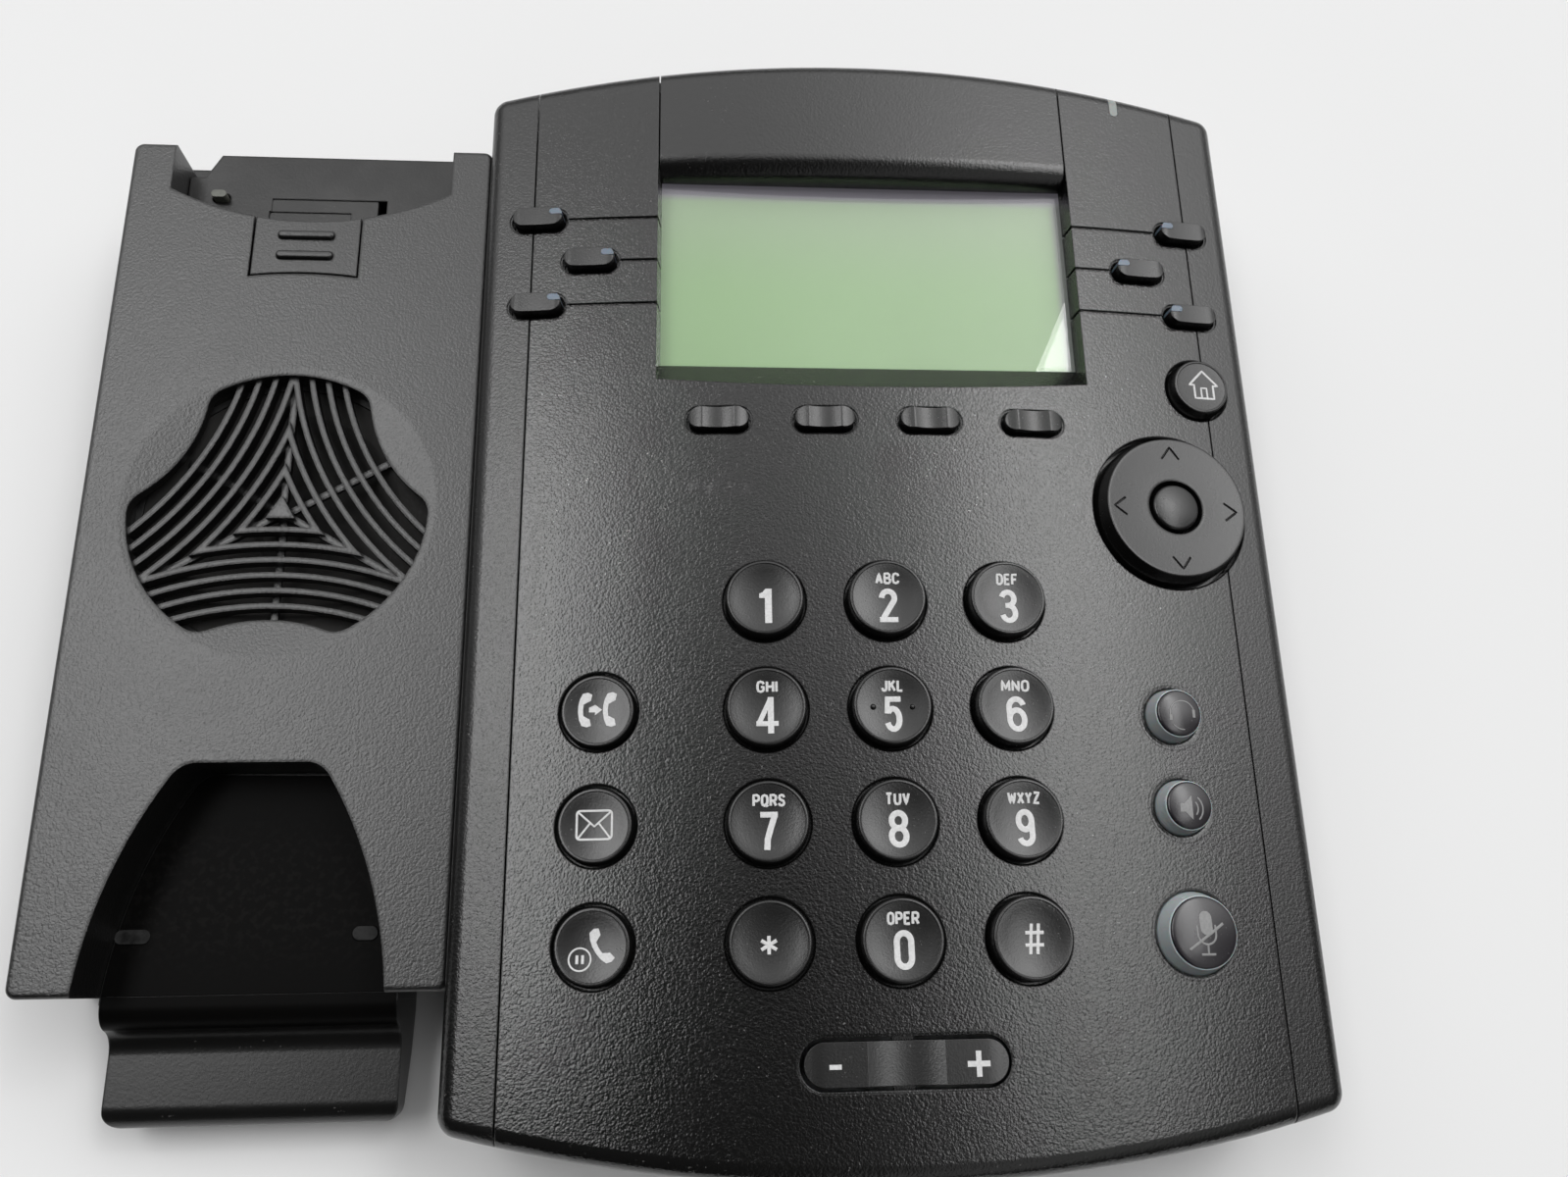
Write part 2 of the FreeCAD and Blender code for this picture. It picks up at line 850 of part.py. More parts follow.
def volume_rocker():
    """A rocking bar, hollow in the middle, on two ears under the housing."""
    x = size(0)
    ear_high = FLANGE_TOP - d.stop_gap
    foot = -stem_depth(x) + d.rocker_clear
    bar = pill("rocker_bar", 0, 0, (ear_high, d.rocker_proud), d.rocker_length, d.rocker_width)
    reach = d.rocker_width / 2 + d.rocker_gap + d.rocker_ear
    ears = block("rocker_ears", (-d.rocker_ear_half, d.rocker_ear_half), (-reach, reach),
                 (ear_high - d.rocker_ear_thick, ear_high + d.floor_gap))
    stems = [rod(f"rocker_stem_{side}", side * d.rocker_stem_x, 0, (foot, ear_high), d.stem_radius)
             for side in (-1, 1)]
    solid = fuse("rocker_solid", bar, ears, *stems)
    hollow = lying_rod("rocker_hollow", d.rocker_hollow, d.rocker_width,
                       d.rocker_proud + d.rocker_hollow - d.rocker_dip)
    keep(on_crown(cut("rocker_cut", solid, hollow), x, d.rocker_y), "volume_rocker")


def hole_tools():
    """Every key hole in the crowned face."""
    tools = []
    for name, x, y in dial_places():
        tools.append(round_hole(f"{name}_hole", x, y, d.dial_hole))
    for name, y in FUNCTION_KEYS.items():
        tools.append(round_hole(f"{name}_hole", -d.function_x, y, d.function_hole))
    for name, y, hole, _ in lamp_places():
        tools.append(round_hole(f"{name}_hole", d.lamp_x, y, hole))
    tools.append(round_hole("home_hole", d.home_x, d.home_y, d.home_hole))
    tools.append(round_hole("nav_hole", d.nav_x, d.nav_y, d.nav_hole))
    gap = d.pill_gap * 2
    for name, (x, y) in LINE_KEYS.items():
        tools.append(pill_hole(f"{name}_hole", size(x), y, d.line_length + gap, d.line_width + gap))
    for name, x, y in soft_places():
        tools.append(pill_hole(f"{name}_hole", x, y, d.soft_length + gap, d.soft_width + gap))
    wide = d.rocker_gap * 2
    tools.append(pill_hole("rocker_hole", size(0), d.rocker_y,
                           d.rocker_length + wide, d.rocker_width + wide))
    return fuse("key_holes", *tools)


def display_recess():
    """The tool for the sunken window: a ramp below it and steep sides."""
    half = d.window_width / 2
    over = d.face_height + 2
    rise = (over - DISPLAY) / d.display_depth
    body = new_body("display_recess")
    lower = sketch_in(body, "XY_Plane", DISPLAY - d.lens_thick)
    draw(lower, rectangle((-half, half), (d.window_low, d.window_high)))
    pad(body, lower, d.lens_thick)
    floor = sketch_in(body, "XY_Plane", DISPLAY)
    draw(floor, rectangle((-half, half), (d.window_low, d.window_high)))
    wide = half + d.side_slope * rise
    mouth = sketch_in(body, "XY_Plane", over)
    draw(mouth, rectangle((-wide, wide), (d.window_low - d.ramp_length * rise, d.window_high)))
    loft = body.newObject("PartDesign::AdditiveLoft", "display_recess_loft")
    loft.Profile = floor
    loft.Sections = [mouth]
    loft.Ruled = True
    body.Tip = loft
    return body


def leader_tools():
    """Fine grooves from each line key to the window and down its side."""
    skin = crowned_form("leader_core", d.leader_depth)
    strips = []
    walls = []
    for name, (x, y) in LINE_KEYS.items():
        side = 1 if x > 0 else -1
        ends = sorted((side * d.window_width / 2, size(x)), key=lambda end: end.value)
        across = (y - d.leader_width / 2, y + d.leader_width / 2)
        strips.append(block(f"{name}_leader", ends, across, (DISPLAY, d.face_height)))
        inner = side * (d.window_width / 2 - 1)
        outer = side * (d.window_width / 2 + d.side_slope)
        wall = sorted((inner, outer), key=lambda end: end.value)
        walls.append(block(f"{name}_drop", wall, across, (DISPLAY, d.face_height)))
    return cut("leader_strips", fuse("leader_bars", *strips), skin), fuse("leader_drops", *walls)


def upper_housing():
    """The crowned shell, split into a front, two side trims and a top cover."""
    outer = crowned_form("crowned_outer", size(0))
    inner = crowned_form("crowned_inner", d.wall)
    opening = block("shell_mouth", (-HALF_WIDTH + d.wall, HALF_WIDTH - d.wall),
                    (-d.dial_height + d.wall * 4, BODY_TOP - d.wall * 4),
                    (d.split_height - 1, d.split_height + 1))
    shell = cut("shell", outer, inner, opening)
    holes = hole_tools()
    half = d.window_width / 2
    seam = d.seam_offset - d.seam_gap / 2
    low = -d.dial_height - d.wall
    high = BODY_TOP + d.wall
    tall = (d.split_height - d.wall, d.face_height + d.wall)
    collar_box = block("window_collar", (-half - d.wall, half + d.wall),
                       (RECESS_LOW - d.wall, d.window_high + d.wall),
                       (DISPLAY, d.face_height))
    collar = common("window_collar_trimmed", collar_box, outer)
    middle = block("front_zone", (-seam, seam), (low, high), tall)
    plain = common("front_plain", fuse("shell_and_collar", shell, collar), middle)
    cover_half = d.cover_width / 2
    side = cover_half + d.seam_gap
    cover_floor = DISPLAY + d.stop_gap
    cover_zone = block("cover_zone", (-side, side), (d.cover_low - d.seam_gap, high),
                       (cover_floor - d.seam_gap, d.face_height + d.wall))
    grooves, drops = leader_tools()
    opened = cut("front_opened", plain, holes, display_recess(), cover_zone, grooves, drops)
    posts = []
    bores = []
    for index, (x, y) in enumerate(POSTS):
        reach = (d.split_height - d.post_reach, crown_height(x) - d.wall / 2)
        posts.append(rod(f"front_post_{index}", x, y, reach, d.post_radius))
        depth = (reach[0] - 1, d.screw_top + d.post_radius)
        bores.append(rod(f"front_bore_{index}", x, y, depth, d.screw_radius))
    half_bar = d.lamp_bar_width / 2
    deep = (DISPLAY - 1, d.face_height)
    lamp_zone = fuse("lamp_zone",
                     block("lamp_bar_run", (d.lamp_bar_x - half_bar, d.lamp_bar_x + half_bar),
                           (d.lamp_bar_low + half_bar, high), deep),
                     rod("lamp_bar_end", d.lamp_bar_x, d.lamp_bar_low + half_bar, deep, half_bar))
    keep_on_face(common("lamp_bar", shell, lamp_zone), "message_lamp")
    solid = fuse("front_posted", opened, *posts)
    keep_on_face(cut("front", solid, lamp_zone, *bores), "front_housing")

    edge = d.seam_offset + d.seam_gap / 2
    for name, x in (("left_trim", (-HALF_WIDTH - 1, -edge)), ("right_trim", (edge, HALF_WIDTH + 1))):
        zone = block(name + "_zone", x, (low, high), tall)
        keep_on_face(cut(name + "_cut", common(name + "_plain", shell, zone), holes), name)

    cover_box = block("cover_box", (-cover_half, cover_half), (d.cover_low, high),
                      (cover_floor, d.face_height + d.wall))
    slab_form = common("cover_form", outer, cover_box)
    doc.recompute()
    rolled = doc.addObject("Part::Fillet", "cover_rolled")
    rolled.Base = slab_form
    rolled.Edges = [(number, d.cover_roll.value, d.cover_roll.value)
                    for number, line in enumerate(slab_form.Shape.Edges, 1)
                    if line.BoundBox.YMax < d.cover_low.value + 0.01
                    and line.BoundBox.ZMin > cover_floor.value + 1]
    hollow_box = block("cover_hollow_box", (-cover_half - 1, cover_half + 1),
                       (d.cover_low + d.cover_roll, high), tall)
    hollow = common("cover_hollow", inner, hollow_box)
    keep_on_face(cut("cover", rolled, hollow), "top_cover")


# The cradle beside it


def ear_outline(margin, end):
    """The recess for the receiver's ear end, open at the cradle's top."""
    half = d.cradle_width / 2 - d.leg_width + margin
    corner = d.ear_corner - margin * 0.6
    return [(CRADLE_X - half, corner, d.ear_arc + margin, 1), (CRADLE_X + half, corner),
            (CRADLE_X + half, end), (CRADLE_X - half, end)]


def arch_outline(margin, end):
    """The arched cut-out for the receiver's mouth end, open at the bottom."""
    wide = d.arch_half_width + margin
    shoulder = d.arch_shoulder + margin * 0.8
    shoulder_y = d.arch_top - d.arch_shoulder_drop + margin * 0.6
    corner = d.arch_corner + margin
    side = d.arch_side_arc + margin
    top = d.arch_top + margin
    return [
        (CRADLE_X - wide, end),
        (CRADLE_X + wide, end),
        (CRADLE_X + wide, CRADLE_LOW, side, 1),
        (CRADLE_X + shoulder, shoulder_y, corner, 1),
        (CRADLE_X + d.arch_flat, top),
        (CRADLE_X - d.arch_flat, top, corner, 1),
        (CRADLE_X - shoulder, shoulder_y, side, 1),
        (CRADLE_X - wide, CRADLE_LOW),
    ]


def lobed_opening(name, low, high):
    """The three-lobed loudspeaker opening, drawn about its own centre."""
    body = new_body(name)
    disc = sketch_in(body, "XY_Plane", low)
    draw_circle(disc, 0, 0, d.lobe_radius)
    pad(body, disc, high - low)
    bite = sketch_in(body, "XY_Plane", high)
    draw_circle(bite, 0, -d.lobe_side - d.lobe_side_arc, d.lobe_side_arc)
    notch = pocket_through(body, bite)
    ring = body.newObject("PartDesign::PolarPattern", name + "_pattern")
    ring.Originals = [notch]
    ring.Axis = (bite, ["N_Axis"])
    ring.Angle = 360
    ring.Occurrences = 3
    body.Tip = ring
    round_edges(body, upright, d.lobe_corner)
    return body


def rib_outline(index):
    """One bowed grille rib, run a little into its neighbours' ribs."""
    centre = d.rib_centre
    middle = centre - d.rib_first - d.rib_pitch * index
    seam = centre * centre * 0.75
    ends = []
    for radius in (middle - d.rib_width / 2, middle + d.rib_width / 2):
        slack = radius * radius - seam
        along = centre / 2 - root(slack) if slack.value > 0 else None
        if along is None or along.value > d.lobe_radius.value:
            x = d.lobe_radius
            ends.append((x, root(radius * radius - x * x) - centre, radius))
        else:
            x = along * math.sqrt(0.75) + d.rib_lap
            ends.append((x, root(radius * radius - x * x) - centre, radius))
    (x_low, y_low, r_low), (x_high, y_high, r_high) = ends
    return [(-x_low, y_low, r_low, -1), (x_low, y_low), (x_high, y_high, r_high, 1),
            (-x_high, y_high)]


def grille_ribs(low, high):
    """Three families of bowed ribs round a small triangle, drawn about its centre."""
    body = new_body("grille_ribs")
    sketch = sketch_in(body, "XY_Plane", low)
    for index in range(6):
        draw(sketch, rib_outline(index))
    rows = pad(body, sketch, high - low)
    ring = body.newObject("PartDesign::PolarPattern", "grille_rib_pattern")
    ring.Originals = [rows]
    ring.Axis = (sketch, ["N_Axis"])
    ring.Angle = 360
    ring.Occurrences = 3
    body.Tip = ring
    return body


def spoke(name, angle, low, high):
    """A bar from the grille's centre outwards."""
    bar = block(name, (0, d.dish_radius), (-d.spoke_width / 2, d.spoke_width / 2), (low, high))
    bar.Placement.Rotation = Rotation(Vector(0, 0, 1), angle)
    turn = math.radians(angle)
    bind(bar, "Placement.Base.x", math.sin(turn) * d.spoke_width / 2)
    bind(bar, "Placement.Base.y", -math.cos(turn) * d.spoke_width / 2)
    return bar


def grille():
    """The ribbed insert of the loudspeaker opening, about its own centre."""
    top = d.cradle_height - d.dish_depth - d.rib_drop
    low = top - d.rib_height
    ribs = grille_ribs(low, top)
    reach = d.hub_reach
    edge = reach * math.sqrt(0.75)
    hub = slab("grille_hub", [(-edge, -reach / 2), (edge, -reach / 2), (0, reach)], low, top)
    upper = [spoke(f"grille_seam_{n}", angle, low, top - d.seam_drop)
             for n, angle in enumerate((90, 210, 330))]
    lower = [spoke(f"grille_spoke_{n}", angle, low - d.spoke_height, low)
             for n, angle in enumerate((30, 150, 270))]
    web = fuse("grille_web", hub, ribs, *upper, *lower)
    mask = lobed_opening("grille_mask", low - d.spoke_height - 1, top + 1)
    return place(common("grille_insert", web, mask), CRADLE_X, d.grille_y)


def dish_profile():
    """Half section of the shallow dish round the grille: flat, then a slow slope."""
    low = d.cradle_height - d.dish_depth
    over = d.cradle_height + 1
    return [(0, low), (d.lobe_side - 1, low), (d.dish_radius, d.cradle_height),
            (d.dish_radius, over), (0, over)]


def tab_outline(margin):
    """The handset tab: its top follows the ear recess, its foot bows inwards."""
    half = d.tab_width / 2 + margin
    drop = root(d.ear_arc * d.ear_arc - half * half)
    inner_half = d.cradle_width / 2 - d.leg_width
    base = d.ear_corner + root(d.ear_arc * d.ear_arc - inner_half * inner_half)
    high = base - drop
    low = d.tab_low - margin
    return [(CRADLE_X - half, low, d.tab_foot_arc, -1), (CRADLE_X + half, low),
            (CRADLE_X + half, high, d.ear_arc, -1), (CRADLE_X - half, high)]


def cradle():
    """The cradle's shell with its ear recess, arch, tab slot and grille."""
    low = CRADLE_LOW
    top = CRADLE_TOP
    left = CRADLE_X - d.cradle_width / 2
    right = CRADLE_X + d.cradle_width / 2 - d.cradle_gap
    outside = slab("cradle_block", rectangle((left, right), (low, top)),
                   d.cradle_split, d.cradle_height)
    round_edges(outside, upright, d.cradle_round * 2)
    round_edges(outside, above(d.cradle_height.value - 0.1), d.cradle_round)
    wall = d.wall
    under = (d.cradle_split - 1, d.cradle_height - wall)
    room = block("cradle_room", (left + wall, right - wall), (low + wall, top - wall), under)
    past = top + wall * 3
    collars = fuse("cradle_collars",
                   slab("ear_collar", ear_outline(d.collar_wall, past), *under),
                   slab("arch_collar", arch_outline(d.collar_wall, low - wall), *under))
    cavity = cut("cradle_cavity", room, collars)
    through = (d.cradle_split - 1, d.cradle_height + 1)
    ear = slab("ear_cut", ear_outline(size(0), past), *through)
    arch = slab("arch_cut", arch_outline(size(0), low - wall * 2), *through)
    dish = place(turned("grille_dish", dish_profile()), CRADLE_X, d.grille_y)
    window = place(lobed_opening("grille_window", *under[:1], d.cradle_height + 1),
                   CRADLE_X, d.grille_y)
    tab_slot = slab("tab_slot", tab_outline(d.tab_gap), d.cradle_height - wall,
                    d.cradle_height + 1)
    shell = cut("cradle_shell", outside, cavity, ear, arch, dish, window, tab_slot)
    ledge_top = d.cradle_height - wall
    half = d.tab_width / 2 + d.tab_gap + d.wall
    ledge = block("tab_ledge", (CRADLE_X - half, CRADLE_X + half),
                  (d.tab_low - d.wall, d.tab_low - d.wall + d.ledge_length),
                  (ledge_top - d.ledge_thick, ledge_top))
    ledge_cut = cut("tab_ledge_cut", ledge, slab("ear_cut_low", ear_outline(size(0), past), *through))
    keep_on_face(fuse("cradle", shell, ledge_cut, grille()), "handset_cradle")


def handset_tab():
    low = d.cradle_height - d.wall + d.tab_gap
    plate = slab("tab_plate", tab_outline(size(0)), low, d.cradle_height)
    raised = (d.cradle_height, d.cradle_height + d.tab_bar_height)
    bars = [pill(f"tab_bar_{n}", CRADLE_X, y, raised, d.tab_bar_length, d.tab_bar_width)
            for n, y in enumerate(TAB_BARS)]
    keep_on_face(fuse("tab", plate, *bars), "handset_tab")


def rear_tray(name, inset, low, high):
    """The lower housing's outline under the keypad, between two heights."""
    body = slab(name, housing_plan(inset), low, high)
    round_edges(body, upright, d.corner_round - inset)
    return body


def tongue_bend(shift, high):
    """The double curve down to the foot's upper face, its two arcs tangent."""
    drop = d.arch_floor - BACK - d.tongue_height
    radius = (d.tongue_run * d.tongue_run + drop * drop) / (drop * 4)
    begin = CRADLE_LOW - d.tongue_start + shift
    return [
        (begin, high + drop, radius, 1),
        (begin - d.tongue_run / 2, high + drop / 2, radius, -1),
        (begin - d.tongue_run, high),
    ]


def tongue_outline():
    """Side view of the foot that runs out under the arch: (y, height)."""
    start = CRADLE_LOW + d.seam_gap
    tip = CRADLE_LOW - d.tongue_length
    high = BACK + d.tongue_height
    return [
        (start, BACK),
        (start, d.arch_floor),
        *tongue_bend(size(0), high),
        (tip + d.nose_over, high, d.nose_over, 1),
        (tip, high - d.nose_over, d.nose_under, 1),
        (tip + d.nose_under, high - d.nose_over - d.nose_under),
        (CRADLE_LOW - 9, BACK + 1.2),
        (CRADLE_LOW - 3, BACK),
    ]


def tongue_room():
    """Side view of the hollow in that foot, open towards the rear housing."""
    wall = d.tongue_wall
    start = CRADLE_LOW + wall
    high = BACK + d.tongue_height - wall
    return [
        (start, FLOOR),
        (start, high + d.arch_floor - BACK - d.tongue_height),
        *tongue_bend(wall, high),
        (CRADLE_LOW - 9, high),
        (CRADLE_LOW - 9, FLOOR + 1.2),
        (CRADLE_LOW - 3, FLOOR),
    ]


def tongue(name, corners, inset):
    body = new_body(name)
    sketch = sketch_in(body, "YZ_Plane", CRADLE_X - d.tongue_width / 2 + inset)
    draw(sketch, corners)
    pad(body, sketch, d.tongue_width - inset * 2)
    return body


def tongue_plan():
    """A tool with the foot's outline from above, its front corners rounded."""
    half = d.tongue_width / 2
    tip = CRADLE_LOW - d.tongue_length
    plan = slab("tongue_plan", rectangle((CRADLE_X - half, CRADLE_X + half),
                                         (tip, CRADLE_LOW + d.tongue_length)),
                BACK - 1, d.arch_floor + 1)
    round_edges(plan, upright, d.tongue_round)
    return plan


def port_recess():
    """The hollow in the back that the sockets open into, and its own walls."""
    half = d.port_width / 2
    wall = d.wall
    outside = block("port_walls", (-half - wall, half + wall),
                    (d.port_low - wall, d.port_high + wall), (BACK, PORT_CEILING + wall))
    hollow = block("port_hollow", (-half, half), (d.port_low, d.port_high),
                   (BACK - 2, PORT_CEILING))
    return outside, hollow


# Sockets: places along X, body width and depth, mouth width and height
SOCKETS = {
    "network_jacks": ((-34, -15), 16.0, 15.0, 11.9, 8.2),
    "handset_jacks": ((3, 17), 11.4, 13.0, 7.9, 6.8),
}
POWER_X = 35


def moulded_sockets(label, places, width, depth, mouth_width, mouth_height):
    """Equal sockets hanging under the board, their mouths facing the recess."""
    made = []
    front = d.port_high + d.jack_gap
    low = (d.jack_low + BOARD_LOW - mouth_height) / 2
    for index, x in enumerate(places):
        box = block(f"{label}_{index}", (x - width / 2, x + width / 2), (front, front + depth),
                    (d.jack_low, BOARD_LOW))
        hole = block(f"{label}_mouth_{index}", (x - mouth_width / 2, x + mouth_width / 2),
                     (front - 1, front + depth - d.jack_back), (low, low + mouth_height))
        made.append(cut(f"{label}_cut_{index}", box, hole))
    keep_on_face(group(label + "_pair", made), label)


def power_socket():
    front = d.port_high + d.jack_gap
    centre = (d.jack_low + BOARD_LOW) / 2
    half = d.power_width / 2
    shell = block("power_block", (POWER_X - half, POWER_X + half), (front, front + d.power_depth),
                  (d.jack_low, BOARD_LOW))
    bore = rod("power_bore", 0, 0, (0, d.power_hole), d.power_bore)
    pin = rod("power_pin", 0, 0, (0, d.power_hole), d.power_pin)
    hollow = cut("power_hollow", bore, pin)
    hollow.Placement = FreeCAD.Placement(Vector(0, 0, 0), Rotation(Vector(1, 0, 0), -90))
    bind(hollow, "Placement.Base.x", POWER_X)
    bind(hollow, "Placement.Base.y", front - 1)
    bind(hollow, "Placement.Base.z", centre)
    keep_on_face(cut("power", shell, hollow), "power_jack")


def socket_openings():
    """Cuts that let each socket's face through the recess wall."""
    rows = [(places, width) for places, width, *_ in SOCKETS.values()]
    rows.append(((POWER_X,), d.power_width))
    made = []
    for places, width in rows:
        for x in places:
            half = width / 2 + d.jack_gap
            made.append(block("socket_opening", (x - half, x + half),
                              (d.port_high - 1, d.port_high + d.wall + 1),
                              (d.jack_low - d.jack_gap, PORT_CEILING + d.wall + 1)))
    return made


def rear_housing():
    """The lower shell: both trays, the arch and ear floors, the tongue and ports."""
    step = d.seam_gap
    left = CRADLE_X - d.cradle_width / 2 + step
    tray = rear_tray("rear_tray", step, BACK, d.split_height)
    round_edges(tray, below(BACK.value + 0.1), d.rim_round - step * 2)
    wing = slab("rear_wing", rectangle((left, -HALF_WIDTH + d.corner_round * 2),
                                       (CRADLE_LOW + step, d.ear_floor_end)), BACK, d.cradle_split)
    round_edges(wing, upright, d.cradle_round * 2)
    wall = d.wall
    inner = rear_tray("rear_room", step + wall, FLOOR, d.split_height + 1)
    wing_room = block("wing_room", (left + wall, -HALF_WIDTH + step),
                      (CRADLE_LOW + step + wall, d.ear_floor_end - wall),
                      (FLOOR, d.cradle_split + 1))
    shells = cut("rear_shells", fuse("rear_trays", tray, wing), inner, wing_room)
    gap = d.floor_gap
    thick = d.collar_wall
    arch = cut("arch_box",
               slab("arch_box_outside", arch_outline(-gap, CRADLE_LOW - 1), FLOOR - 1, d.arch_floor),
               slab("arch_box_room", arch_outline(-gap - thick, CRADLE_LOW + thick), FLOOR,
                    d.arch_floor - thick))
    shelf = cut("shelf",
                slab("shelf_outside", ear_outline(-gap, d.ear_floor_end), FLOOR - 1, d.ear_floor),
                slab("shelf_room", ear_outline(-gap - thick, d.ear_floor_end - thick), FLOOR,
                     d.ear_floor - thick))
    foot = cut("tongue",
               common("tongue_outside",
                      tongue("tongue_form", tongue_outline(), size(0)), tongue_plan()),
               tongue("tongue_inside", tongue_room(), d.tongue_wall))
    walls, hollow = port_recess()
    parts = [shells, arch, shelf, foot, walls]
    for index, (x, y) in enumerate(POSTS):
        parts.append(rod(f"rear_post_{index}", x, y, (BACK, d.boss_top), d.screw_head + d.boss_wall))
    solid = fuse("rear_solid", *parts)
    tools = [hollow, *socket_openings(), *screw_holes(), *foot_seats(), hook_slot(), *vents(),
             *stand_slots()]
    corner = ear_outline(-gap, d.ear_floor_end)[3]
    notch = slab("shelf_notch", [
        (corner[0] - 1, corner[1] - 4.6), (corner[0] + 2.6, corner[1] - 4.6),
        (corner[0] + 5.6, corner[1] + 1), (corner[0] - 1, corner[1] + 1)],
        d.cradle_split, d.ear_floor + 1)
    keep_on_face(cut("rear", solid, *tools, notch, *catch_tools()), "rear_housing")


def catch_tools():
    """The stepped pocket in the ear floor behind the tab, with a hole at its end."""
    right = CRADLE_X + d.catch_right
    along = (d.ear_corner - d.ledge_length, d.ear_corner + d.catch_length)
    over = d.ear_floor + 1
    shallow = block("catch_pocket", (CRADLE_X - d.catch_left, right + d.floor_gap), along,
                    (d.ear_floor - d.catch_depth, over))
    step = block("catch_step", (CRADLE_X - d.catch_left - d.tab_gap, CRADLE_X + d.catch_step_right),
                 (along[0], d.ear_corner + d.catch_step_length),
                 (d.ear_floor - d.catch_depth * 2, over))
    hole = block("catch_hole", (right, right + d.catch_hole), along,
                 (d.ear_floor - d.collar_wall - 1, over))
    return shallow, step, hole


def screw_holes():
    made = []
    for index, (x, y) in enumerate(POSTS):
        made.append(rod(f"screw_clear_{index}", x, y, (BACK - 1, d.boss_top + 1),
                        d.screw_radius + d.side_gap))
        made.append(rod(f"screw_sink_{index}", x, y, (BACK - 1, SCREW_SEAT),
                        d.screw_head + d.side_gap))
    return made


def screws():
    """Cross-headed screws from the back up into the front housing's posts."""
    made = []
    head_low = BACK + d.screw_sink
    deep = (head_low - 1, head_low + d.drive_depth)
    long = d.drive_reach
    thin = d.drive_half
    for index, (x, y) in enumerate(POSTS):
        head = rod(f"screw_head_{index}", x, y, (head_low, SCREW_SEAT), d.screw_head)
        shank = rod(f"screw_shank_{index}", x, y, (SCREW_SEAT, d.screw_top), d.screw_radius)
        slot = block(f"screw_slot_{index}", (x - long, x + long), (y - thin, y + thin), deep)
        cross = block(f"screw_cross_{index}", (x - thin, x + thin), (y - long, y + long), deep)
        made.append(cut(f"screw_{index}", fuse(f"screw_plain_{index}", head, shank), slot, cross))
    keep_on_face(group("screws", made), "housing_screws")


def foot_seats():
    return [rod(f"foot_seat_{index}", x, y, (BACK - 1, BACK + d.foot_seat), d.foot_radius + 0.1)
            for index, (x, y) in enumerate(FEET)]


def feet():
    made = [rod(f"foot_{index}", x, y, (size(0), BACK + d.foot_seat), d.foot_radius)
            for index, (x, y) in enumerate(FEET)]
    keep_on_face(group("feet", made), "rubber_feet")


def vents():
    """A row of cooling slots through the back."""
    made = []
    for index in range(VENTS):
        x = (index - (VENTS - 1) / 2) * d.vent_pitch
        made.append(block(f"vent_{index}", (x - d.vent_half, x + d.vent_half), VENT_SPAN,
                          (BACK - 1, FLOOR + 1)))
    return made


def stand_slots():
    """Four slots that the hooks of a desk stand clip into."""
    long = d.slot_half_length
    wide = d.slot_half_width
    return [block(f"stand_slot_{index}", (x - long, x + long), (y - wide, y + wide),
                  (BACK - 1, FLOOR + 1))
            for index, (x, y) in enumerate(STAND_SLOTS)]


def hook_slot():
    x = CRADLE_X + HOOK[0]
    slack = d.hook_gap * 2
    return pill("hook_slot", x, HOOK[1], (FLOOR + 1, d.ear_floor + 1),
                d.hook_cap_length + slack, d.hook_cap_width + slack)


def hook_switch():
    """The plunger that the receiver presses, and the switch below it."""
    x = CRADLE_X + HOOK[0]
    y = HOOK[1]
    flange_top = d.ear_floor - d.collar_wall - d.hook_gap
    flange_low = flange_top - d.flange_thick
    cap = pill("hook_cap", x, y, (flange_top, d.ear_floor + d.hook_proud),
               d.hook_cap_length, d.hook_cap_width)
    flange = pill("hook_flange", x, y, (flange_low, flange_top),
                  d.hook_flange_length, d.hook_flange_width)
    stem = rod("hook_stem", x, y, (d.hook_stem_low, flange_low), d.hook_stem)
    keep_on_face(fuse("hook_plunger_solid", cap, flange, stem), "hook_plunger")
    half = d.switch_half
    base = block("hook_base", (x - half, x + half), (y - half, y + half), (FLOOR, d.switch_top))
    keep_on_face(base, "hook_switch")


# Inside: board, mat, display stack, loudspeaker


def post_clearances(low, high):
    return [rod(f"post_clear_{index}", x, y, (low, high), d.post_radius + d.stop_gap)
            for index, (x, y) in enumerate(POSTS)]


def inner_half():
    return d.seam_offset + d.board_margin * 2


def board():
    half = inner_half()
    plate = block("board_plate", (-half, half), (d.board_low, d.board_high),
                  (BOARD_LOW, d.board_top))
    tools = post_clearances(BOARD_LOW - 1, d.board_top + 1)
    keep_on_face(cut("board", plate, *tools), "main_board")


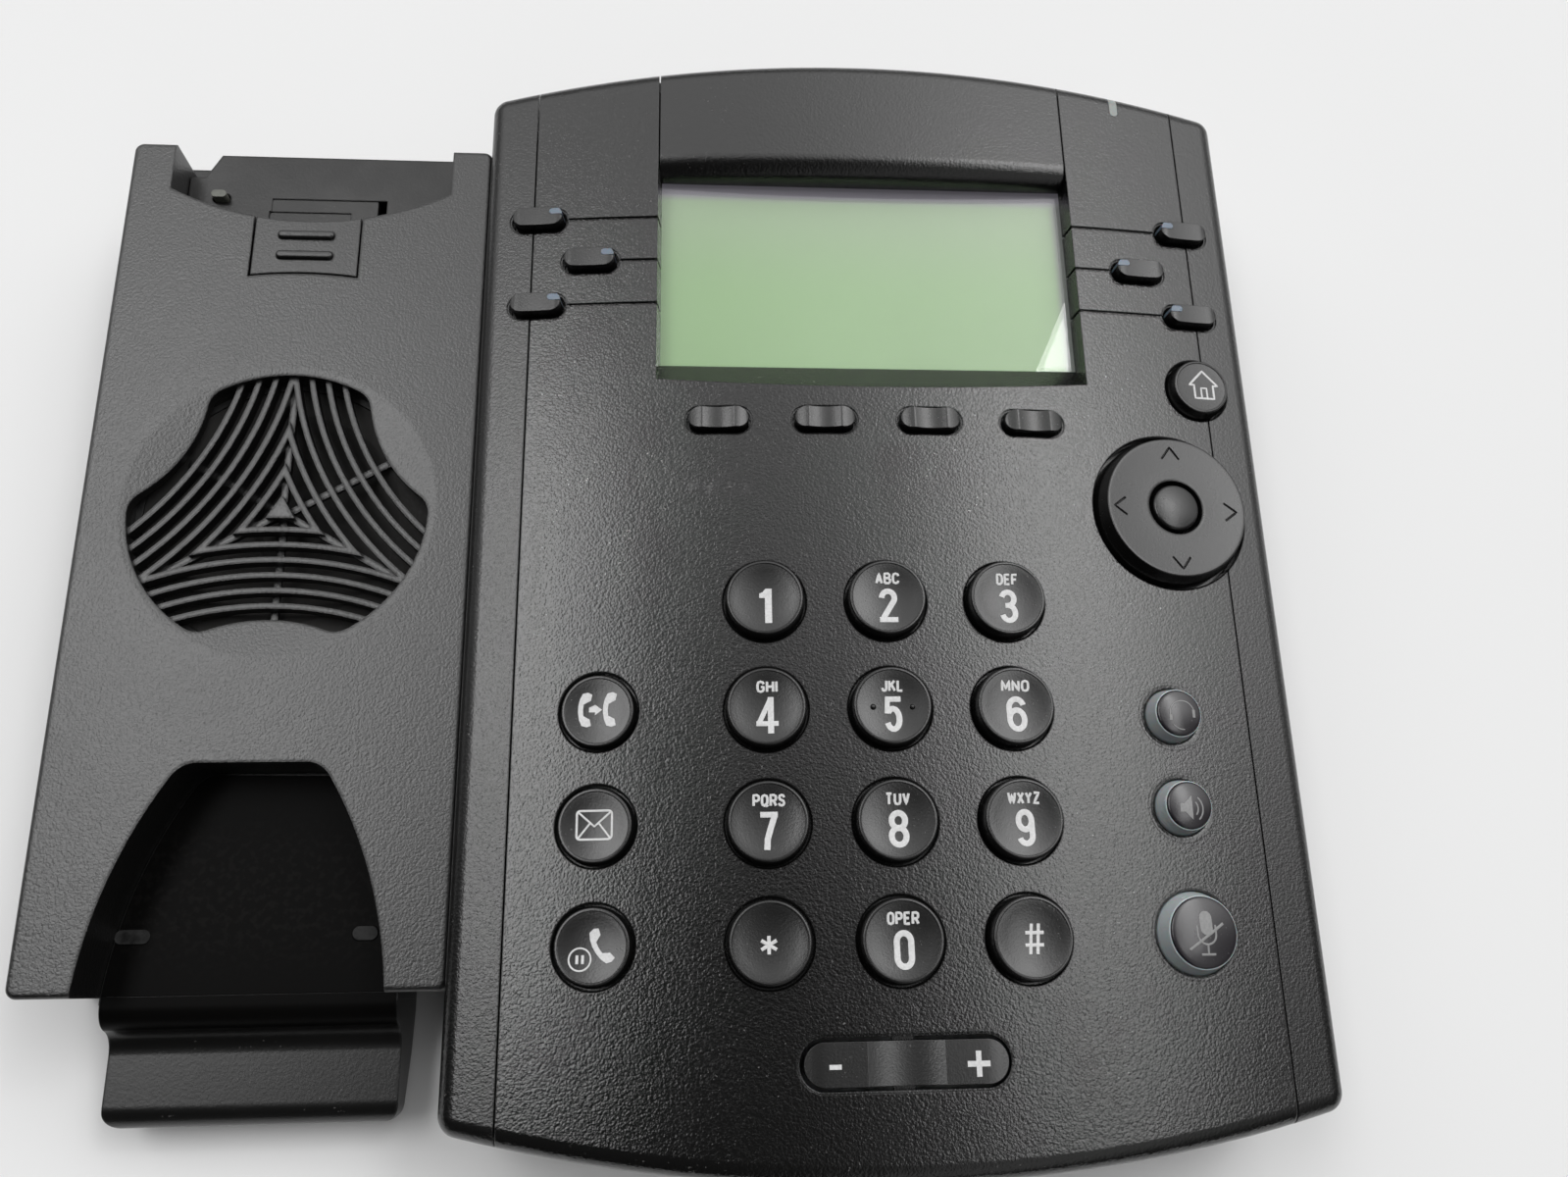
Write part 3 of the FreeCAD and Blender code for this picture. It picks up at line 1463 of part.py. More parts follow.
def key_mat():
    """The rubber sheet over the board with a dome under every key."""
    half = inner_half()
    sheet = block("mat_sheet", (-half, half), (d.board_low, d.mat_high), (d.board_top, MAT_TOP))
    bay_half = d.window_width / 2 + d.lens_margin * 2
    bay = block("mat_bay", (-bay_half, bay_half), (RECESS_LOW, d.mat_high + 1),
                (d.board_top - 1, MAT_TOP + 1))
    tools = post_clearances(d.board_top - 1, MAT_TOP + 1)
    spots = [(x, y) for _, x, y in dial_places()]
    spots += [(-d.function_x, y) for y in FUNCTION_KEYS.values()]
    spots += [(d.lamp_x, y) for _, y, _, _ in lamp_places()]
    spots += [(size(x), y) for x, y in LINE_KEYS.values()]
    spots += [(x, y) for _, x, y in soft_places()]
    spots += [(d.home_x, d.home_y), (d.nav_x, d.nav_y)]
    spots += [(side * d.rocker_stem_x, d.rocker_y) for side in (-1, 1)]
    domes = [rod(f"dome_{index}", x, y, (MAT_TOP, MAT_TOP + d.dome_height), d.dome_radius)
             for index, (x, y) in enumerate(spots)]
    keep_on_face(fuse("mat", cut("mat_plain", sheet, bay, *tools), *domes), "key_mat")


def display_stack():
    """Lens, glass panel and backlight in a frame that stands on the board."""
    half = d.window_width / 2 + d.lens_margin
    low = d.window_low - d.lens_margin
    high = d.window_high + d.lens_margin
    rim = d.frame_wall
    lens_low = DISPLAY - d.lens_thick
    glass_low = lens_low - d.panel_thick
    light_low = glass_low - d.light_thick
    across = (-half + rim, half - rim)
    along = (low + rim, high - rim)
    keep_on_face(block("lens", (-half, half), (low, high), (lens_low, DISPLAY)), "display_lens")
    keep_on_face(block("glass", across, along, (glass_low, lens_low)), "lcd_panel")
    keep_on_face(block("light", across, along, (light_low, glass_low)), "lcd_backlight")
    ring = block("lcd_ring", (-half - rim, half + rim), (low - rim, high + rim),
                 (d.board_top, lens_low))
    slack = rim - d.floor_gap
    room = block("lcd_room", (-half + slack, half - slack), (low + slack, high - slack),
                 (light_low, lens_low + 1))
    keep_on_face(cut("lcd_frame_cut", ring, room), "lcd_frame")


# Half sections of the loudspeaker: radius, and depth below the cradle's inner face
GASKET = ((23.6, 2.0), (26.6, 2.0), (26.6, 0.0), (23.6, 0.0))
BASKET = ((8.0, 11.0), (12.5, 11.0), (19.5, 4.2), (26.2, 4.2), (26.2, 2.0), (22.6, 2.0),
          (22.6, 3.0), (18.6, 3.0), (11.8, 9.8), (8.0, 9.8))
CONE = ((0.0, 6.4), (5.5, 7.6), (6.5, 8.4), (18.4, 2.9), (22.5, 2.9), (22.5, 2.2), (18.2, 2.2),
        (6.8, 6.8), (5.2, 6.0), (0.0, 4.8))
MAGNET = ((0.0, 18.0), (12.0, 18.0), (12.0, 11.1), (0.0, 11.1))


def loudspeaker():
    under = d.cradle_height - d.wall
    sections = {"speaker_gasket": GASKET, "speaker_basket": BASKET, "speaker_cone": CONE,
                "speaker_magnet": MAGNET}
    for label, section in sections.items():
        piece = turned(label, [(radius, under - depth) for radius, depth in section])
        place(piece, BODY_X + CRADLE_X, DIAL_Y + d.grille_y)
        keep(piece, label)


def microphone():
    capsule = rod("microphone_capsule", d.mic_x, d.mic_y, (FLOOR, FLOOR + d.mic_height),
                  d.mic_radius)
    keep_on_face(capsule, "microphone")


def keys():
    for name, x, y in dial_places():
        round_key(name, x, y, d.dial_hole, d.dial_cap, d.dial_proud, d.dial_dish)
    for name, y in FUNCTION_KEYS.items():
        round_key(name, -d.function_x, y, d.function_hole, d.function_cap,
                  d.function_proud, d.function_dish)
    round_key("home_key", d.home_x, d.home_y, d.home_hole, d.home_cap, d.home_proud,
              d.function_dish / 2)
    for name, y, hole, cap in lamp_places():
        lamp_key(name, y, hole, cap)
    for name, (x, y) in LINE_KEYS.items():
        pill_key(name, size(x), y, d.line_length, d.line_width, d.line_proud)
    for name, x, y in soft_places():
        pill_key(name, x, y, d.soft_length, d.soft_width, d.soft_proud, saddle=d.soft_length * 1.3)


def write_parts():
    """Check the whole document, then write one file for each sub-part."""
    doc.recompute()
    for thing in doc.Objects:
        if "Invalid" in thing.State or "Error" in thing.State:
            raise RuntimeError(f"{thing.Label} failed: {thing.State}")
    for piece in kept:
        if piece.Shape.isNull() or not piece.Shape.isValid():
            raise RuntimeError(f"{piece.Label} has no valid shape")
    os.makedirs("parts", exist_ok=True)
    for piece in kept:
        piece.Shape.exportStep(f"parts/{piece.Label}.step")
        box = piece.Shape.BoundBox
        print(f"{piece.Label}: {len(piece.Shape.Solids)} solid, {piece.Shape.Volume:.0f} mm3, "
              f"x {box.XMin:.1f} {box.XMax:.1f} y {box.YMin:.1f} {box.YMax:.1f} "
              f"z {box.ZMin:.1f} {box.ZMax:.1f}")


upper_housing()
cradle()
handset_tab()
rear_housing()
screws()
feet()
keys()
navigation()
volume_rocker()
hook_switch()
board()
key_mat()
display_stack()
loudspeaker()
for socket_label, layout in SOCKETS.items():
    moulded_sockets(socket_label, *layout)
power_socket()
microphone()
write_parts()
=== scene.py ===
import bmesh
import bpy
from bmesh import ops
from math import asin, ceil, copysign, cos, hypot, pi, radians, sin, sqrt, tau
from mathutils import Matrix, Vector
from mathutils.bvhtree import BVHTree


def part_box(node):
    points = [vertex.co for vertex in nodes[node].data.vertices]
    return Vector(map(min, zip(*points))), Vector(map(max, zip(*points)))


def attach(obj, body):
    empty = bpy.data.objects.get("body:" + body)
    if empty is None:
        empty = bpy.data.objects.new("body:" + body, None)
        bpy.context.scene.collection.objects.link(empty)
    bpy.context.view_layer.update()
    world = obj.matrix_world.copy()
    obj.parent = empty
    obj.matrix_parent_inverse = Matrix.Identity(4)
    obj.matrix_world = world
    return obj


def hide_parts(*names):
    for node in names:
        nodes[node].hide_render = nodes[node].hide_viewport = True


# A desk telephone on its back. Shapes are drawn in millimetres about each piece's own
# middle, then put in place in metres.

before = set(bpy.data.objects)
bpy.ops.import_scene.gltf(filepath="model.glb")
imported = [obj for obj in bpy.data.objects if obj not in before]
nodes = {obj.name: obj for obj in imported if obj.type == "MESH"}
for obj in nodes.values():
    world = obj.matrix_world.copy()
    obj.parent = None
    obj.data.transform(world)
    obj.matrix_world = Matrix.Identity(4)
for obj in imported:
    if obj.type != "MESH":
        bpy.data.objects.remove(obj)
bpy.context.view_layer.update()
scene = bpy.context.scene
scene.view_settings.view_transform = "Standard"

MM = 0.001
METRES = Matrix.Scale(MM, 4)
# The dial's middle on the face, and the radius of the face's crown.
DIAL = Vector((30.7, -34.0, 34.0))
CROWN = 464.0
# Height at which all key stems end, and their radius.
STEM_END = 24.6
STEM = 1.6
# Bottom and top of a key's flange, from the face, and its reach past the hole.
FLANGE = (-3.5, -2.5)
FLANGE_LAP = 0.56
# Places on the face, from the dial's middle.
LAMP_KEYS_X = 44.0
NAVIGATION = (47.7, 41.2)
# The middle of the cradle across the part, and the heights of its top and of the arch floor.
CRADLE_X = -64.8
CRADLE_TOP = 25.5
ARCH_FLOOR = 15.45


def new_object(name, data):
    made = bpy.data.objects.new(name, data)
    scene.collection.objects.link(made)
    return made


# Camera and lamps

def set_camera():
    """The view of the photo; tilt is the turn's axis, as long as its angle."""
    tilt = Vector((-0.30452541, 0.073816255, 0.00898574154))
    turn = Matrix.Rotation(tilt.length, 4, tilt)
    dial_seen = Vector((16.176, -26.032, -189.076))
    upright = turn.transposed()
    data = bpy.data.cameras.new("camera")
    data.lens = 29.268
    data.clip_start = 0.01
    camera = new_object("camera", data)
    camera.matrix_world = Matrix.Translation((DIAL - upright @ dial_seen) * MM) @ upright
    scene.camera = camera


def softbox(name, centre, size, power, turn=0.0):
    """A soft lamp that faces down, in metres, watts and degrees."""
    data = bpy.data.lights.new(name, "AREA")
    data.shape = "RECTANGLE"
    data.size, data.size_y = size
    data.energy = power
    lamp = new_object(name, data)
    lamp.location = centre
    lamp.rotation_euler = (0, 0, radians(turn))


set_camera()
softbox("right_softbox", (1.21, 0.42, 2.53), (0.74, 1.82), 12.42)
softbox("corner_softbox", (1.098, 1.317, 2.53), (0.5, 0.4), 4.6, -24.4)
softbox("left_softbox", (-1.11, 0.575, 2.53), (0.84, 1.75), 23.2, -5.0)


# Node helpers

def add(tree, kind, inputs=None, **settings):
    """One shader node; an input is a plain value or another node's output."""
    node = tree.nodes.new("ShaderNode" + kind)
    for key, value in settings.items():
        setattr(node, key, value)
    for key, value in (inputs or {}).items():
        if isinstance(value, bpy.types.NodeSocket):
            tree.links.new(value, node.inputs[key])
        else:
            node.inputs[key].default_value = value
    return node


def feed(node, socket, value):
    node.id_data.links.new(value, node.inputs[socket])


def maths(action, first, second=0.0):
    """A sum of two node outputs, or of one and a plain number."""
    known = first if isinstance(first, bpy.types.NodeSocket) else second
    return add(known.id_data, "Math", {0: first, 1: second}, operation=action).outputs[0]


def times(first, second):
    return maths("MULTIPLY", first, second)


def added(first, second):
    return maths("ADD", first, second)


def ramp(value, low, high, start, end, ends="LINEAR"):
    """The value, stretched from low..high to start..end and held at both ends."""
    inputs = {"Value": value, "From Min": low, "From Max": high, "To Min": start, "To Max": end}
    return add(value.id_data, "MapRange", inputs, interpolation_type=ends).outputs[0]


def spread(value, low, high, start=0.0, end=1.0):
    """The same with soft ends."""
    return ramp(value, low, high, start, end, "SMOOTHSTEP")


def blend(share, first, second):
    inputs = {0: share, 6: first, 7: second}
    return add(share.id_data, "Mix", inputs, data_type="RGBA").outputs[2]


def grey(value, warm=0.0):
    return (value * (1 + warm), value, value * (1 - warm), 1.0)


def lighter(colour, share):
    return tuple(min(1.0, part * share) for part in colour[:3]) + (1.0,)


def own_place(tree):
    return add(tree, "TexCoord").outputs["Object"]


def noise(tree, scale, detail=2.0, rough=0.5, result="Fac"):
    """Cloudy values over the part."""
    inputs = {"Vector": own_place(tree), "Scale": scale, "Detail": detail, "Roughness": rough}
    return add(tree, "TexNoise", inputs).outputs[result]


def make_world():
    """A soft room: its ceiling brightens towards the far end and over to the right."""
    world = bpy.data.worlds.new("room")
    scene.world = world
    world.use_nodes = True
    tree = world.node_tree
    tree.nodes.clear()
    way = add(tree, "SeparateXYZ", {0: add(tree, "TexCoord").outputs["Generated"]}).outputs
    up = maths("MAXIMUM", way["Z"], 0.05)
    along = maths("DIVIDE", way["Y"], up)
    across = maths("DIVIDE", way["X"], up)
    ceiling = added(ramp(along, 0.0, 0.33, 0.03, 1.15), ramp(along, 0.33, 0.9, 0.0, 0.95))
    side = times(ramp(across, 0.02, 0.36, 0.0, 2.5), ramp(across, 0.6, 1.1, 1.0, 0.4))
    end = times(ramp(along, -0.08, 0.35, 0.25, 1.0), ramp(along, 0.4, 0.9, 1.0, 0.45))
    glow = times(side, end)
    reach = maths("MAXIMUM", maths("ABSOLUTE", across), along)
    level = times(added(ceiling, glow), ramp(reach, 0.9, 2.0, 1.0, 0.25))
    light = add(tree, "Background", {"Color": grey(0.8), "Strength": level})
    backdrop = add(tree, "Background", {"Color": grey(0.79), "Strength": 1.0})
    seen = add(tree, "LightPath").outputs["Is Camera Ray"]
    mix = add(tree, "MixShader", {0: seen, 1: light.outputs[0], 2: backdrop.outputs[0]})
    feed(add(tree, "OutputWorld"), "Surface", mix.outputs[0])


make_world()


# Effects that several finishes share

def new_group(name, inputs, outputs):
    tree = bpy.data.node_groups.new(name, "ShaderNodeTree")
    for label, start in inputs.items():
        socket = tree.interface.new_socket(label, in_out="INPUT", socket_type="NodeSocketFloat")
        socket.default_value = start
    for label, kind in outputs.items():
        tree.interface.new_socket(label, in_out="OUTPUT", socket_type="NodeSocket" + kind)
    return tree, tree.nodes.new("NodeGroupInput"), tree.nodes.new("NodeGroupOutput")


def make_grain():
    """Leathery moulded texture: rounded cells a few tenths of a millimetre across."""
    tree, given, result = new_group("moulded_grain", {"Cell": 0.0004}, {"Height": "Float"})
    place = own_place(tree)
    density = maths("DIVIDE", 1.0, given.outputs["Cell"])
    wave = noise(tree, times(density, 0.7), result="Color")
    sway = add(tree, "VectorMath", {0: wave, 1: (0.5, 0.5, 0.5)}, operation="SUBTRACT").outputs[0]
    stray = {0: sway, "Scale": times(given.outputs["Cell"], 1.6)}
    reach = add(tree, "VectorMath", stray, operation="SCALE").outputs[0]
    moved = add(tree, "VectorMath", {0: place, 1: reach}, operation="ADD").outputs[0]
    cells = add(tree, "TexVoronoi", {"Vector": moved, "Scale": density, "Smoothness": 0.3},
                feature="SMOOTH_F1").outputs["Distance"]
    fine = noise(tree, times(density, 2.3), 3.0)
    domes = maths("SUBTRACT", 1.0, cells)
    total = added(times(domes, 0.75), times(fine, 0.45))
    feed(result, "Height", total)
    return tree


def make_edges():
    """Where the surface turns over an edge, and a normal that rounds it."""
    tree, given, result = new_group("soft_edges", {"Radius": 0.0003},
                                    {"Normal": "Vector", "Edge": "Float"})
    rounded = add(tree, "Bevel", {"Radius": given.outputs["Radius"]}, samples=4).outputs[0]
    own = add(tree, "NewGeometry").outputs["Normal"]
    match = add(tree, "VectorMath", {0: rounded, 1: own}, operation="DOT_PRODUCT").outputs["Value"]
    edge = spread(maths("SUBTRACT", 1.0, match), 0.02, 0.25)
    feed(result, "Normal", rounded)
    feed(result, "Edge", edge)
    return tree


def make_handling():
    """Specks of dust on what faces up, and broad faint smudges from hands."""
    tree, given, result = new_group("handling", {"Speck": 0.0005},
                                    {"Dust": "Float", "Smudge": "Float"})
    smudge = spread(noise(tree, 42.0, 5.0, 0.6), 0.35, 0.75)
    spot = noise(tree, maths("DIVIDE", 1.0, given.outputs["Speck"]), 1.0)
    drift = noise(tree, 130.0, 3.0)
    specks = times(spread(spot, 0.7, 0.78), spread(drift, 0.45, 0.65))
    turned_up = add(tree, "SeparateXYZ", {0: add(tree, "NewGeometry").outputs["Normal"]})
    facing = spread(turned_up.outputs["Z"], 0.2, 0.9)
    feed(result, "Dust", times(specks, facing))
    feed(result, "Smudge", smudge)
    return tree


GRAIN = make_grain()
EDGES = make_edges()
HANDLING = make_handling()


def effect(tree, group, **values):
    node = tree.nodes.new("ShaderNodeGroup")
    node.node_tree = group
    for key, value in values.items():
        node.inputs[key].default_value = value
    return node.outputs


def empty_material(name):
    material = bpy.data.materials.new(name)
    material.use_nodes = True
    material.node_tree.nodes.clear()
    return material, material.node_tree


def new_finish(name, **plain):
    """A material with one Principled shader; plain values are set on its own sockets."""
    material, tree = empty_material(name)
    inputs = {label.replace("_", " "): value for label, value in plain.items()}
    shader = add(tree, "BsdfPrincipled", inputs)
    feed(add(tree, "OutputMaterial"), "Surface", shader.outputs[0])
    return material, tree, shader


def bumped(shader, height, depth, normal=None):
    bump = add(shader.id_data, "Bump", {"Strength": 1.0, "Distance": depth, "Height": height})
    if normal is not None:
        feed(bump, "Normal", normal)
    feed(shader, "Normal", bump.outputs[0])


def object_place(tree):
    return add(tree, "SeparateXYZ", {0: own_place(tree)}).outputs


def within(value, low, high, soft):
    """1 between low and high, in millimetres, fading over soft."""
    rise = spread(value, (low - soft) * MM, (low + soft) * MM)
    fall = spread(value, (high - soft) * MM, (high + soft) * MM, 1.0, 0.0)
    return times(rise, fall)


def plastic(name, colour, rough, cell=0.4, depth=0.02, edge=0.3, dust=0.5, shine=0.62):
    """Black moulded plastic: grained, painted paler along its edges as a highlight, a little dusty.
    """
    material, tree, shader = new_finish(name, Specular_IOR_Level=shine)
    edges = effect(tree, EDGES, Radius=edge * MM)
    handled = effect(tree, HANDLING)
    # Painted highlight: the colour turns paler where the surface rounds over an edge.
    highlit_edges = blend(times(edges["Edge"], 0.5), colour, lighter(colour, 4.0))
    dusted = blend(times(handled["Dust"], dust), highlit_edges, grey(0.16, 0.02))
    feed(shader, "Base Color", dusted)
    worn = added(times(handled["Smudge"], 0.02), rough)
    feed(shader, "Roughness", added(worn, times(handled["Dust"], 0.3)))
    height = effect(tree, GRAIN, Cell=cell * MM)["Height"]
    bumped(shader, height, depth * MM, edges["Normal"])
    return material


def own_shader(material):
    return material.node_tree.nodes["Principled BSDF"]


def recolour(material, share, colour):
    """Lays a masked colour over whatever already feeds the base colour."""
    shader = own_shader(material)
    under = shader.inputs["Base Color"].links[0].from_socket
    feed(shader, "Base Color", blend(share, under, colour))


def reroughen(material, share, rough):
    shader = own_shader(material)
    under = shader.inputs["Roughness"].links[0].from_socket
    inputs = {0: share, 2: under, 3: rough}
    mixed = add(material.node_tree, "Mix", inputs, data_type="FLOAT").outputs[0]
    feed(shader, "Roughness", mixed)


def scuff(material, x, y, half_x, half_y, scale=700.0):
    """A streaky mark about a place on the part, in millimetres."""
    tree = material.node_tree
    at = object_place(tree)
    patch = times(within(at["X"], x - half_x, x + half_x, half_x * 0.6),
                  within(at["Y"], y - half_y, y + half_y, half_y * 0.6))
    return times(patch, spread(noise(tree, scale, 4.0), 0.48, 0.62))


# Finishes of the shells

BLACK = grey(0.005, 0.02)

case_black = plastic("case_black", BLACK, 0.11, 0.42, 0.036)
recolour(case_black, times(scuff(case_black, 4.0, 10.1, 5.0, 0.9), 0.1), grey(0.3))

trim_black = plastic("trim_black", BLACK, 0.22, 0.42, 0.036)

cover_black = plastic("cover_black", BLACK, 0.16, 0.42, 0.032)
recolour(cover_black, times(scuff(cover_black, -15.5, 74.2, 2.0, 0.25), 0.4), grey(0.4))

cradle_black = plastic("cradle_black", BLACK, 0.31, 0.45, 0.044, 0.7, shine=0.81)
at = object_place(cradle_black.node_tree)
grille = times(within(at["Z"], 20.0, 24.55, 0.04), within(at["Y"], -16.0, 34.0, 1.0))
reroughen(cradle_black, times(grille, 0.6), 0.3)

tab_black = plastic("tab_black", BLACK, 0.32, 0.42, 0.03, 0.4, shine=0.75)

rear_black = plastic("rear_black", grey(0.0045, 0.02), 0.3, 0.5, 0.014, 0.5, shine=0.45)
at = object_place(rear_black.node_tree)
ear_floor = within(at["Z"], 18.0, 18.9, 0.2)
hand_marks = effect(rear_black.node_tree, HANDLING, Speck=0.0009)["Smudge"]
recolour(rear_black, times(times(ear_floor, hand_marks), 0.12), grey(0.22, 0.02))

key_black = plastic("key_black", BLACK, 0.26, 0.3, 0.012, 0.12, 0.35)
# The rocker's hollow middle: coarser grain and more dust, and a paler black that is a painted sheen
# for the light its hollow catches.
key_black_middle_sheen = plastic("key_black_grained_sheen", grey(0.009), 0.3, 0.35, 0.016, 0.15, 0.6)
lamp_cap_black = plastic("lamp_cap_smoke", (0.015, 0.013, 0.016, 1), 0.2, 0.5, 0.003, 0.1, 0.2)

# Painted shade: a near-black finish that hardly reflects, for sheets laid where the housing lies in
# shadow.
painted_shade_black = plastic("painted_shade_black", grey(0.0022, 0.05), 0.42, 0.5, 0.006, 0.3, 0.0, shine=0.04)
recolour(painted_shade_black, times(scuff(painted_shade_black, -64.0, -50.0, 22.0, 9.0, 900.0), 0.05),
         grey(0.05, 0.06))


# Print, glass and the rest

def make_ink(name, level):
    material, tree, shader = new_finish(name, Roughness=0.45)
    fleck = noise(tree, 3000.0, 3.0)
    colour = blend(spread(fleck, 0.35, 0.65), grey(level * 0.86), grey(level))
    feed(shader, "Base Color", colour)
    bumped(shader, fleck, 0.004 * MM)
    return material


ink = make_ink("key_print", 0.66)
faint_ink = make_ink("lamp_key_print", 0.25)


def make_lamp_plastic(name, deep, skin):
    """Milky light guide, its depths a little darker than its skin."""
    material, tree, shader = new_finish(name, Transmission_Weight=0.25, IOR=1.49,
                                        Subsurface_Weight=0.3, Subsurface_Scale=0.001)
    edges = effect(tree, EDGES, Radius=0.15 * MM)
    handled = effect(tree, HANDLING)
    colour = blend(handled["Smudge"], deep, skin)
    feed(shader, "Base Color", colour)
    feed(shader, "Roughness", spread(handled["Smudge"], 0.0, 1.0, 0.24, 0.32))
    bumped(shader, effect(tree, GRAIN, Cell=0.3 * MM)["Height"], 0.003 * MM, edges["Normal"])
    return material


def make_pane():
    """Clear window; light for the panel below passes straight through."""
    material, tree = empty_material("display_pane")
    glass = add(tree, "BsdfPrincipled", {"Base Color": grey(0.96), "Transmission Weight": 1.0,
                                         "IOR": 1.46, "Roughness": 0.0})
    bumped(glass, noise(tree, 60.0), 0.004 * MM)
    clear = add(tree, "BsdfTransparent")
    path = add(tree, "LightPath").outputs
    passing = maths("MAXIMUM", path["Is Shadow Ray"], path["Is Diffuse Ray"])
    mix = add(tree, "MixShader", {0: passing, 1: glass.outputs[0], 2: clear.outputs[0]})
    feed(add(tree, "OutputMaterial"), "Surface", mix.outputs[0])
    return material


def make_lcd():
    """Reflective green panel with a fine dot grid and a greyer border along the top, which glows
    faintly: painted light where the cover shades it.
    """
    material, tree, shader = new_finish("lcd_green", Roughness=0.5, Specular_IOR_Level=0.05,
                                        Emission_Strength=1.0)
    at = object_place(tree)
    cloud = noise(tree, 18.0, 3.0)
    green = blend(spread(cloud, 0.3, 0.7), (0.255, 0.4, 0.2, 1), (0.285, 0.445, 0.225, 1))
    paler = times(spread(at["Y"], 46.0 * MM, 67.0 * MM), 0.55)
    green = blend(paler, green, (0.33, 0.405, 0.295, 1))
    dot_pitch = 0.33
    dots = []
    for axis in ("X", "Y"):
        steps = maths("FRACT", times(at[axis], 1 / (dot_pitch * MM)))
        dots.append(spread(maths("ABSOLUTE", maths("SUBTRACT", steps, 0.5)), 0.42, 0.48))
    lines = maths("MAXIMUM", dots[0], dots[1])
    field = blend(times(lines, 0.03), green, grey(0.2))
    border = spread(at["Y"], 65.4 * MM, 67.4 * MM)
    side = times(spread(at["X"], 63.7 * MM, 65.4 * MM), 0.8)
    band = maths("MAXIMUM", border, side)
    feed(shader, "Base Color", blend(band, field, (0.21, 0.2, 0.225, 1)))
    # Painted light: the top border glows faintly to stand in for the light that the cover's
    # overhang keeps off it.
    feed(shader, "Emission Color", blend(border, grey(0.0), (0.06, 0.058, 0.066, 1)))
    bumped(shader, cloud, 0.01 * MM)
    return material


def make_simple(name, pale, dark, scale, depth, rough, **plain):
    """A two-tone finish with a fine surface: rubber, foam, metal, paper."""
    material, tree, shader = new_finish(name, **plain)
    fine = noise(tree, scale, 4.0)
    edges = effect(tree, EDGES, Radius=0.15 * MM)
    colour = blend(spread(fine, 0.35, 0.65), dark, pale)
    # Painted highlight: the colour turns paler where the surface rounds over an edge.
    highlit_edges = blend(times(edges["Edge"], 0.35), colour, lighter(pale, 1.6))
    feed(shader, "Base Color", highlit_edges)
    feed(shader, "Roughness", spread(fine, 0.3, 0.7, rough * 0.85, rough * 1.15))
    bumped(shader, fine, depth * MM, edges["Normal"])
    return material


def make_board():
    """Green lacquer over a fine net of copper tracks."""
    material, tree, shader = new_finish("board_green")
    net = {"Vector": own_place(tree), "Scale": 160.0, "Mortar Size": 0.06, "Mortar Smooth": 0.1,
           "Color1": grey(0), "Color2": grey(0), "Mortar": grey(1)}
    tracks = add(tree, "TexBrick", net).outputs["Fac"]
    grainy = noise(tree, 900.0)
    green = blend(grainy, (0.01, 0.07, 0.03, 1), (0.016, 0.095, 0.042, 1))
    tracked = blend(times(tracks, 0.7), green, (0.03, 0.17, 0.07, 1))
    feed(shader, "Base Color", tracked)
    feed(shader, "Roughness", spread(grainy, 0.3, 0.7, 0.22, 0.34))
    bumped(shader, tracks, 0.03 * MM)
    return material


lamp_plastic = make_lamp_plastic("lamp_plastic", (0.52, 0.57, 0.585, 1), (0.62, 0.665, 0.68, 1))
bar_plastic = make_lamp_plastic("lamp_bar_plastic", (0.3, 0.33, 0.315, 1), (0.36, 0.39, 0.37, 1))
blue_lens = make_lamp_plastic("lamp_lens_blue", (0.16, 0.21, 0.28, 1), (0.21, 0.27, 0.34, 1))
pane = make_pane()
lcd_green = make_lcd()
board_green = make_board()
rubber = make_simple("foot_rubber", grey(0.03), grey(0.02), 2500.0, 0.02, 0.75)
silicone = make_simple("mat_silicone", grey(0.36, -0.02), grey(0.3, -0.02), 1200.0, 0.01, 0.6)
foam = make_simple("gasket_foam", grey(0.014), grey(0.008), 3500.0, 0.12, 0.95)
paper = make_simple("cone_paper", grey(0.022, 0.05), grey(0.012, 0.05), 1800.0, 0.03, 0.85)
steel = make_simple("screw_steel", grey(0.56), grey(0.44), 1500.0, 0.003, 0.34, Metallic=1.0)
zinc = make_simple("basket_zinc", grey(0.48, -0.02), grey(0.38, -0.02), 700.0, 0.004, 0.42,
                   Metallic=1.0)
basket_dark = make_simple("basket_dark", grey(0.02), grey(0.012), 900.0, 0.004, 0.6)
gold = make_simple("contact_gold", (0.86, 0.62, 0.25, 1), (0.78, 0.54, 0.2, 1), 1500.0, 0.002, 0.28,
                   Metallic=1.0)
jack_black = make_simple("jack_black", grey(0.022), grey(0.016), 1600.0, 0.006, 0.42)
frame_grey = make_simple("frame_grey", grey(0.14), grey(0.11), 1800.0, 0.006, 0.5)
pad_grey = make_simple("pad_grey", grey(0.03), grey(0.006), 420.0, 0.004, 0.5,
                       Specular_IOR_Level=0.15)
light_white = make_simple("backlight_white", grey(0.78), grey(0.72), 900.0, 0.003, 0.4)
pale_nub = make_simple("plunger_pale", (0.13, 0.135, 0.115, 1), (0.09, 0.095, 0.08, 1), 1500.0,
                       0.004, 0.4)

